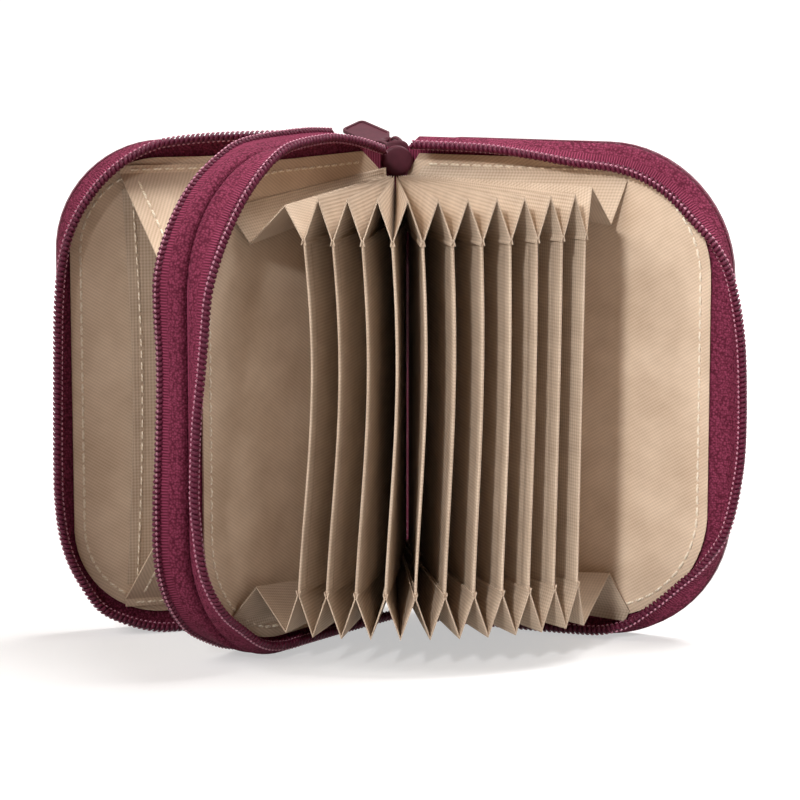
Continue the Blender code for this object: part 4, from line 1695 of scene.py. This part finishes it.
@dataclass
class Spine:
    """The soft leather over the spine: bands that each lie across one joint, and two glued laps."""

    finishes: Finishes
    bodies: Sequence[BodyFrame]
    thickness: float = 1.1
    margin: float = 8.0
    edge_depth: float = 4.0
    bulge: float = 5.4
    lap_gap: float = 0.12
    # The lap's places outward, each with half of its thickness there, thinned out to its edge.
    lap_profile: Sequence[Flat] = (
        (1.2, 0.5), (3.0, 0.45), (5.0, 0.42), (6.4, 0.36), (7.2, 0.22), (7.5, 0.08),
    )
    seam_out: float = 5.4
    seam_rise: float = 0.82
    seam_margin: float = 2.0
    thread_radius: float = 0.2
    stitch_pitch: float = 2.8
    stitch_length: float = 2.1
    steps_per_band: int = 4

    def line(self, share: float) -> Vector:
        """Finds a point of the leather's arc, from the left cover's back edge to the right cover's.

        Args:
            share: The share of the arc.

        Returns:
            The point, on the floor.
        """
        left = self.bodies[0].place(0.0, -self.edge_depth)
        chord = self.bodies[-1].place(0.0, self.edge_depth) - left
        back = Vector((-chord.y, chord.x, 0.0)).normalized()
        return left + chord * share + back * self.bulge * math.sin(math.pi * share)

    def strip(self, name: str, points: Sequence[Vector], halves: Sequence[float], on: str | Bend) -> None:
        """Builds an upright strip of leather, thinner at its top and bottom edge.

        Args:
            name: The strip's name.
            points: Its line on the floor.
            halves: Half of its thickness at each point of the line.
            on: The body that it rides on, or the bend between two bodies.
        """
        low, high = self.margin, SHAPE.height - self.margin
        levels = [(low, 0.6), (low + 0.3, 0.95)]
        levels += [(up, 1.0) for up in evenly(low + 1.0, high - 1.0, 22)]
        levels += [(high - 0.3, 0.95), (high, 0.6)]
        draft = Draft()
        draft.upright(points, halves, levels)
        draft.dress(name, self.finishes.leather, on, "leather", "spine_leather", sharp=60)

    def lap(self, body: BodyFrame, side: Side) -> None:
        """Builds the part of the strip that is glued and stitched over a cover's back.

        Args:
            body: The cover's body.
            side: The side that its back faces.
        """
        name, sign = f"spine_lap_{side.name.lower()}", side.value
        outer = SHAPE.leather_depth + SHAPE.leather_thickness + self.lap_gap
        points = [self.line(0.0 if side is Side.LEFT else 1.0)]
        points += [body.place(out, sign * (outer + half)) for out, half in self.lap_profile]
        halves = [self.thickness / 2] + [half for _, half in self.lap_profile]
        self.strip(name, points, halves, body.name)
        margin = self.margin + self.seam_margin
        seam = [body.place(self.seam_out, sign * (outer + self.seam_rise), up)
                for up in evenly(margin, SHAPE.height - margin, 20)]
        thread = Draft()
        thread.stitches(seam, body.sideways * sign, self.thread_radius, self.stitch_pitch, self.stitch_length)
        thread.dress(f"{name}_stitching", self.finishes.rose_thread, body.name, "leather")

    def build(self) -> None:
        """Builds the bands in order from the left cover to the right cover, and the laps."""
        count = len(self.bodies) - 1
        for number in range(count):
            points = [self.line((number + share) / count) for share in evenly(0, 1, self.steps_per_band)]
            bend = Bend(self.bodies[number], self.bodies[number + 1], points[0], points[-1])
            halves = [self.thickness / 2] * len(points)
            self.strip(f"spine_leather_band_{number + 1:02d}", points, halves, bend)
        self.lap(self.bodies[0], Side.LEFT)
        self.lap(self.bodies[-1], Side.RIGHT)


# Sliders and pull tabs


@dataclass
class Slider:
    """A die-cast slider: a round face plate, a body behind it, and the bail that holds the tab."""

    finishes: Finishes
    name: str
    place: Vector
    yaw: float
    roll: float
    disc_radius: float = 3.5
    # Depths behind the face, each with the disc's radius there: slightly crowned, with a rounded rim.
    disc_profile: Sequence[Flat] = (
        (0.0, 1.7), (0.05, 2.7), (0.13, 3.15), (0.3, 3.4), (0.5, 3.5), (0.75, 3.4), (0.9, 3.2),
    )
    plate: float = 0.9
    gap: float = 2.0
    post_width: float = 1.4
    post_height: float = 2.4
    back_width: float = 5.4
    back_rise: float = 4.4
    back_drop: float = 3.4
    bail_inner: float = 1.6
    bail_thickness: float = 0.7
    bail_width: float = 1.0
    bail_sink: float = 0.4
    bail_drop: float = 1.4
    bail_steps: int = 32
    wire_steps: int = 10

    def bail_centre(self) -> Vector:
        """Centre of the bail, on the tab's hinge."""
        depth = self.plate * 2 + self.gap + self.bail_inner + self.bail_thickness - self.bail_sink
        return self.place + Vector((0.0, depth, self.back_rise - self.bail_drop))

    def block(self, draft: Draft, outline: Sequence[Flat], profile: Sequence[Flat]) -> None:
        """Adds an upright plate.

        Args:
            draft: The slider's mesh.
            outline: Its outline, sideways and up.
            profile: Its depths, each with the outline's share of its size there.
        """
        x, z = (sum(values) / len(outline) for values in zip(*outline))
        rings = []
        for depth, share in profile:
            spots = [self.place + Vector((x + (px - x) * share, depth, z + (pz - z) * share))
                     for px, pz in outline]
            rings.append([draft.point(spot, (spot.x, spot.z)) for spot in spots])
        draft.loft(rings)

    def softened(self, near: float, far: float) -> list[Flat]:
        """A plate's depths with softened edges, each with the outline's share of its size there."""
        return [(near, 0.88), (near + 0.12, 0.96), (near + 0.3, 1.0), (far - 0.5, 1.0), (far - 0.2, 0.95),
                (far, 0.84)]

    def bail(self, draft: Draft) -> None:
        """Adds the ring round the tab's bar.

        Args:
            draft: The slider's mesh.
        """
        turn = rotation("Z", self.yaw) @ rotation("Y", -self.roll)
        half = self.bail_thickness / 2
        rings = []
        for angle in evenly(0, 2 * math.pi, self.bail_steps)[:-1]:
            ring = []
            for around in evenly(0, 2 * math.pi, self.wire_steps)[:-1]:
                radius = self.bail_inner + half + half * math.cos(around)
                place = turn @ Vector((self.bail_width / 2 * math.sin(around), radius * math.cos(angle),
                                       radius * math.sin(angle)))
                ring.append(draft.point(self.bail_centre() + place, (around, angle)))
            rings.append(ring)
        draft.skin(rings + [rings[0]], closed=True)

    def build(self) -> None:
        """Builds the slider in one piece."""
        draft = Draft()
        disc = arc((0.0, 0.0), self.disc_radius, 0, 360, 48)[:-1]
        self.block(draft, disc, [(depth, radius / self.disc_radius) for depth, radius in self.disc_profile])
        span, half = self.plate * 2 + self.gap, self.post_width / 2
        post = [(-half, 0.0), (half, 0.0), (half, self.post_height), (-half, self.post_height)]
        self.block(draft, post, self.softened(self.plate * 0.8, span - self.plate * 0.8))
        radius = self.back_width / 3
        half = self.back_width / 2 - radius
        top, low = self.back_rise - radius, -self.back_drop + radius
        corners = ((half, top, 0), (-half, top, 90), (-half, low, 180), (half, low, 270))
        outline = [p for x, z, start in corners for p in arc((x, z), radius, start, start + 90, 6)]
        self.block(draft, outline, self.softened(span - self.plate, span))
        self.bail(draft)
        zinc = self.finishes.zinc
        draft.dress(f"{self.name}_casting", zinc, self.name, "painted_slider", self.name, sharp=40)


@dataclass
class PullTab:
    """A pull tab: a flat tongue with a raised rim, a recessed face and a slot for the bail."""

    finishes: Finishes
    name: str
    hinge: Vector
    yaw: float
    roll: float
    lift: float
    length: float = 14.5
    width: float = 7.0
    neck_width: float = 3.2
    neck_length: float = 3.8
    thickness: float = 0.9
    bar: float = 0.5
    slot_length: float = 2.6
    slot_width: float = 1.7
    corner: float = 1.4
    chamfer: float = 0.18
    rim: float = 0.7
    recess: float = 0.22
    recess_gap: float = 1.2
    recess_draw: float = 0.96
    cutter_half: float = 1.2

    def outline(self, inset: float) -> list[Flat]:
        """Draws the tongue's outline.

        Args:
            inset: How far it is moved in from the edge.

        Returns:
            The outline's points.
        """
        half, neck = self.width / 2 - inset, self.neck_width / 2 - inset
        shoulder = self.neck_length + self.width / 2 - self.neck_width / 2
        start, far = inset - self.bar, self.length - inset
        radius = max(self.corner - inset, 0.3)
        points = [(neck, start), (neck, self.neck_length), (half, shoulder)]
        points += arc((half - radius, far - radius), radius, 0, 90, 6)
        points += arc((-half + radius, far - radius), radius, 90, 180, 6)
        return points + [(-half, shoulder), (-neck, self.neck_length), (-neck, start)]

    def ring(self, draft: Draft, outline: Sequence[Flat], up: float) -> list[int]:
        """Adds a ring of points in the tab's own lie.

        Args:
            draft: The mesh to add to.
            outline: The ring's outline.
            up: Its height above the tab's middle.

        Returns:
            The points' numbers.
        """
        turn = rotation("Z", self.yaw) @ rotation("Y", -self.roll) @ rotation("X", self.lift)
        return [draft.point(self.hinge + turn @ Vector((x, y, up)), (x, y)) for x, y in outline]

    def cut_slot(self, tab: Object) -> None:
        """Cuts the slot for the bail.

        Args:
            tab: The tongue, whose mesh is replaced.
        """
        half, far = self.slot_width / 2, self.bar + self.slot_length
        slot = [(half, self.bar), (half, far), (-half, far), (-half, self.bar)]
        cutter = Draft()
        cutter.loft([self.ring(cutter, slot, up) for up in (-self.cutter_half, self.cutter_half)])
        hole = cutter.build(f"{self.name}_slot_cutter", self.finishes.zinc)
        cut = tab.modifiers.new("slot", "BOOLEAN")
        cut.operation = "DIFFERENCE"
        cut.solver = "EXACT"
        cut.object = hole
        bpy.context.view_layer.update()
        shaped = bpy.data.meshes.new_from_object(tab.evaluated_get(bpy.context.evaluated_depsgraph_get()))
        tab.modifiers.clear()
        tab.data = shaped
        bpy.data.objects.remove(hole, do_unlink=True)

    def build(self) -> None:
        """Builds the tab."""
        draft = Draft()
        half = self.thickness / 2
        inside, outside = self.outline(self.chamfer), self.outline(0.0)
        edge = [self.ring(draft, inside, -half), self.ring(draft, outside, self.chamfer - half),
                self.ring(draft, outside, half - self.chamfer), self.ring(draft, inside, half)]
        draft.skin(edge, closed=True)
        face = [(x, max(y, self.neck_length + self.recess_gap)) for x, y in self.outline(self.rim)]
        for sign, outer in ((1, edge[-1]), (-1, edge[0])):
            lip = self.ring(draft, face, sign * half)
            drawn = [(x * self.recess_draw, y) for x, y in face]
            floor = self.ring(draft, drawn, sign * (half - self.recess))
            draft.skin([outer, lip, floor], closed=True)
            draft.faces.append(tuple(floor))
        tab = draft.build(f"{self.name}_tongue", self.finishes.zinc, sharp=40)
        self.cut_slot(tab)
        fit(tab, self.name, "painted_slider", self.name)


# Studio


@dataclass(frozen=True)
class Lamp:
    """A soft square lamp, or a gridded spotlight where the half angle of its cone is given."""

    name: str
    place: tuple[float, float, float]
    watts: float
    size: float
    aim: tuple[float, float, float] = (0.0, 0.0, 0.05)
    cone: float = 0.0

    def build(self) -> None:
        """Hangs the lamp and turns it to what it lights. Its lengths are in metres."""
        light = bpy.data.lights.new(self.name, "SPOT" if self.cone else "AREA")
        light.energy = self.watts
        if self.cone:
            light.spot_size = math.radians(2 * self.cone)
            light.spot_blend = 1.0
            light.shadow_soft_size = self.size
        else:
            light.size = self.size
        obj = bpy.data.objects.new(self.name, light)
        obj.location = self.place
        obj.rotation_euler = (Vector(self.aim) - Vector(self.place)).to_track_quat("-Z", "Y").to_euler()
        bpy.context.scene.collection.objects.link(obj)


@dataclass
class Studio:
    """A white floor, soft lamps and the camera at the photograph's angle."""

    spine: Vector
    lens: float = 143.46
    camera_offset: tuple[float, float, float] = (2.883, -713.109, 165.1)
    camera_tilt: float = 9.14
    camera_reach_metres: float = 50.0
    floor_half: float = 9000.0
    ambient: float = 0.25
    fill_colour: str = "#FFD8BC"
    lamps: Sequence[Lamp] = (
        Lamp("key_lamp", (-0.90, -0.62, 0.95), 9.0, 0.6),
        Lamp("top_lamp", (0.42, 0.16, 1.25), 20.0, 0.7),
        Lamp("cover_lamp", (-0.40, -1.20, 0.75), 140.0, 0.10, (0.065, 0.004, 0.050), 3.5),
    )

    def surround(self) -> None:
        """Sets a white surround: full white to camera, mirror and glass rays, a soft warm fill on cloth."""
        scene = bpy.context.scene
        scene.world = scene.world or bpy.data.worlds.new("studio_world")
        scene.world.use_nodes = True
        tree = scene.world.node_tree
        seen = seen_directly(tree)
        shades = {"data_type": "RGBA", 6: linear(self.fill_colour), 7: (1, 1, 1, 1)}
        colour = add_node(tree, "Mix", shades, {"Factor": seen}, 2)
        limits = {"To Min": self.ambient, "To Max": 1.0}
        strength = add_node(tree, "MapRange", limits, {"Value": seen})
        background = tree.nodes["Background"].inputs
        tree.links.new(colour, background["Color"])
        tree.links.new(strength, background["Strength"])

    def build(self) -> None:
        """Builds the floor, the lamps, the surround and the camera."""
        draft, size = Draft(), self.floor_half
        corners = ((-size, -size), (size, -size), (size, size), (-size, size))
        draft.faces.append(tuple(draft.point(Vector((x, y, 0.0)), (x, y)) for x, y in corners))
        draft.build("studio_floor", StudioFloor().material())
        for lamp in self.lamps:
            lamp.build()
        self.surround()
        camera = bpy.data.cameras.new("camera")
        camera.lens = self.lens
        camera.clip_end = self.camera_reach_metres
        obj = bpy.data.objects.new("camera", camera)
        obj.location = (self.spine + Vector(self.camera_offset)) * MM
        obj.rotation_euler = (math.radians(90 - self.camera_tilt), 0.0, 0.0)
        scene = bpy.context.scene
        scene.collection.objects.link(obj)
        scene.camera = obj
        scene.view_settings.view_transform = "Standard"


# The wallet

# How far each zip tape turns out of its leaf, by the share of the way round from the spine's top.
RIGHT_FLARES = [(0, 106), (0.08, 110), (0.13, 124), (0.18, 146), (0.23, 158), (0.28, 158), (0.32, 144),
                (0.36, 106), (0.40, 76), (0.45, 55), (0.50, 48), (0.56, 48), (0.60, 59), (0.64, 80),
                (0.68, 112), (0.72, 138), (0.76, 136), (0.80, 116), (0.84, 106), (1, 106)]
MIDDLE_A_FLARES = [(0, 112), (0.04, 88), (0.08, 73), (0.12, 74), (0.16, 83), (0.20, 101), (0.24, 118),
                   (0.28, 124), (0.32, 108), (0.36, 87), (0.40, 77), (0.44, 68), (0.48, 58), (0.52, 53),
                   (0.56, 51), (0.60, 58), (0.64, 69), (0.68, 87), (0.72, 108), (0.76, 112), (0.80, 119),
                   (0.84, 122), (1, 118)]
MIDDLE_B_FLARES = [(0, 75), (0.04, 68), (0.08, 68), (0.12, 71), (0.16, 79), (0.20, 93), (0.24, 96),
                   (0.28, 96), (0.32, 91), (0.36, 80), (0.40, 83), (0.44, 90), (0.48, 90), (0.52, 85),
                   (0.56, 78), (0.60, 66), (0.64, 60), (0.68, 63), (0.72, 74), (0.755, 84), (0.785, 96),
                   (0.82, 100), (1, 100)]
LEFT_FLARES = [(0, 81), (0.08, 81), (0.12, 84), (0.16, 92), (0.20, 106), (0.24, 114), (0.28, 114),
               (0.32, 104), (0.36, 88), (0.40, 80), (0.44, 77), (0.60, 72), (0.64, 77), (0.68, 89),
               (0.72, 95), (0.755, 90), (0.785, 97), (0.82, 100), (1, 100)]


@dataclass
class Wallet:
    """The whole wallet, as sub-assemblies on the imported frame's bodies."""

    middle_heading: float = -126.9
    left_open: float = 36.0
    first_open: float = 18.0
    pocket_open: float = 5.5
    last_open: float = 32.0
    end_gap: float = 0.6
    left_fore_radius: float = 24.0

    def frames(self) -> tuple[list[BodyFrame], BodyFrame]:
        """Works out every body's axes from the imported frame's joints.

        Returns:
            The bodies from the middle leaf to the right cover, and the left cover's body.
        """
        placed = [joint for joint in frame["joints"] if joint.get("pos_m")]
        joints = {joint["name"]: Vector(joint["pos_m"]) / MM for joint in placed}
        heading = self.middle_heading
        first = joints["divider_01_hinge"] - unit(heading + 90) * (SHAPE.middle_face + self.end_gap)
        bodies = [BodyFrame("middle_leaf", first.x, first.y, heading)]
        turns = [self.first_open] + [self.pocket_open] * (LAST_DIVIDER - 1) + [self.last_open]
        names = [f"divider_{number:02d}" for number in range(1, LAST_DIVIDER + 1)] + ["right_cover"]
        for name, turn in zip(names, turns):
            heading += turn
            place = joints[f"{name}_hinge"]
            bodies.append(BodyFrame(name, place.x, place.y, heading))
        place = joints["left_cover_hinge"]
        return bodies, BodyFrame("left_cover", place.x, place.y, self.middle_heading - self.left_open)

    def zips(
        self, finishes: Finishes, bodies: Sequence[BodyFrame], left: BodyFrame, tighter: LeafShape
    ) -> None:
        """Builds both halves of both zips.

        Args:
            finishes: The wallet's finishes.
            bodies: The bodies from the middle leaf to the right cover.
            left: The left cover's body.
            tighter: The left cover's shape.
        """
        middle, right = bodies[0], bodies[-1]
        root, sewn = SHAPE.middle_tape_centre, SHAPE.tape_root_depth
        left_tail = [middle.place(out, root) for out in (12.0, 9.0, 6.0, 3.7)]
        left_tail += [Vector((middle.x + x, middle.y + y, 0.0))
                      for x, y in ((-2.2, -1.2), (-1.6, 0.9), (0.2, 1.5), (2.4, 1.6))]
        right_tail = [right.place(out, sewn) for out in (4.0, 1.0, -2.6, -6.2)]
        ZipHalf(finishes, middle, "zip_a", "left", root, Side.RIGHT, 9.6, MIDDLE_A_FLARES, bodies[1], 24.0,
                left_tail).build()
        ZipHalf(finishes, right, "zip_a", "right", sewn, Side.LEFT, -3.0, RIGHT_FLARES, bodies[-2], 32.0,
                right_tail).build()
        ZipHalf(finishes, middle, "zip_b", "right", -root, Side.LEFT, 12.0, MIDDLE_B_FLARES, left, 27.0,
                low_start=15.0).build()
        ZipHalf(finishes, left, "zip_b", "left", -sewn, Side.RIGHT, 15.0, LEFT_FLARES, middle, 27.0,
                low_start=15.0, shape=tighter).build()

    def build(self) -> Vector:
        """Builds every sub-assembly in order.

        Returns:
            The middle leaf's place on the floor.
        """
        finishes = Finishes()
        bodies, left = self.frames()
        middle = bodies[0]
        tighter = LeafShape(fore_radius=self.left_fore_radius)
        MiddleLeaf(finishes, middle).build()
        Cover(finishes, bodies[-1], Side.RIGHT, -6.0, -0.7, -1.0).build()
        Cover(finishes, left, Side.LEFT, 1.0, 6.0, 1.1, tighter).build()
        self.zips(finishes, bodies, left, tighter)
        CardFan(finishes, bodies).build()
        SideCompartment(finishes, left, middle).build()
        Spine(finishes, [left, *bodies]).build()
        spine = Vector((middle.x, middle.y, 0.0))
        for word, place, yaw, roll, lift in (("a", (2.2, 0.1, 104.5), 44.0, 16.0, 16.0),
                                             ("b", (0.6, 0.6, 91.0), 0.0, 0.0, -90.0)):
            slider = Slider(finishes, f"zip_{word}_slider", spine + Vector(place), yaw, roll)
            slider.build()
            PullTab(finishes, f"zip_{word}_pull_tab", slider.bail_centre(), yaw, roll, lift).build()
        return spine


def main() -> None:
    """Builds the wallet and the studio."""
    logging.basicConfig(level=logging.INFO, format="%(name)s: %(message)s")
    Studio(Wallet().build()).build()


if __name__ == "__main__":
    main()
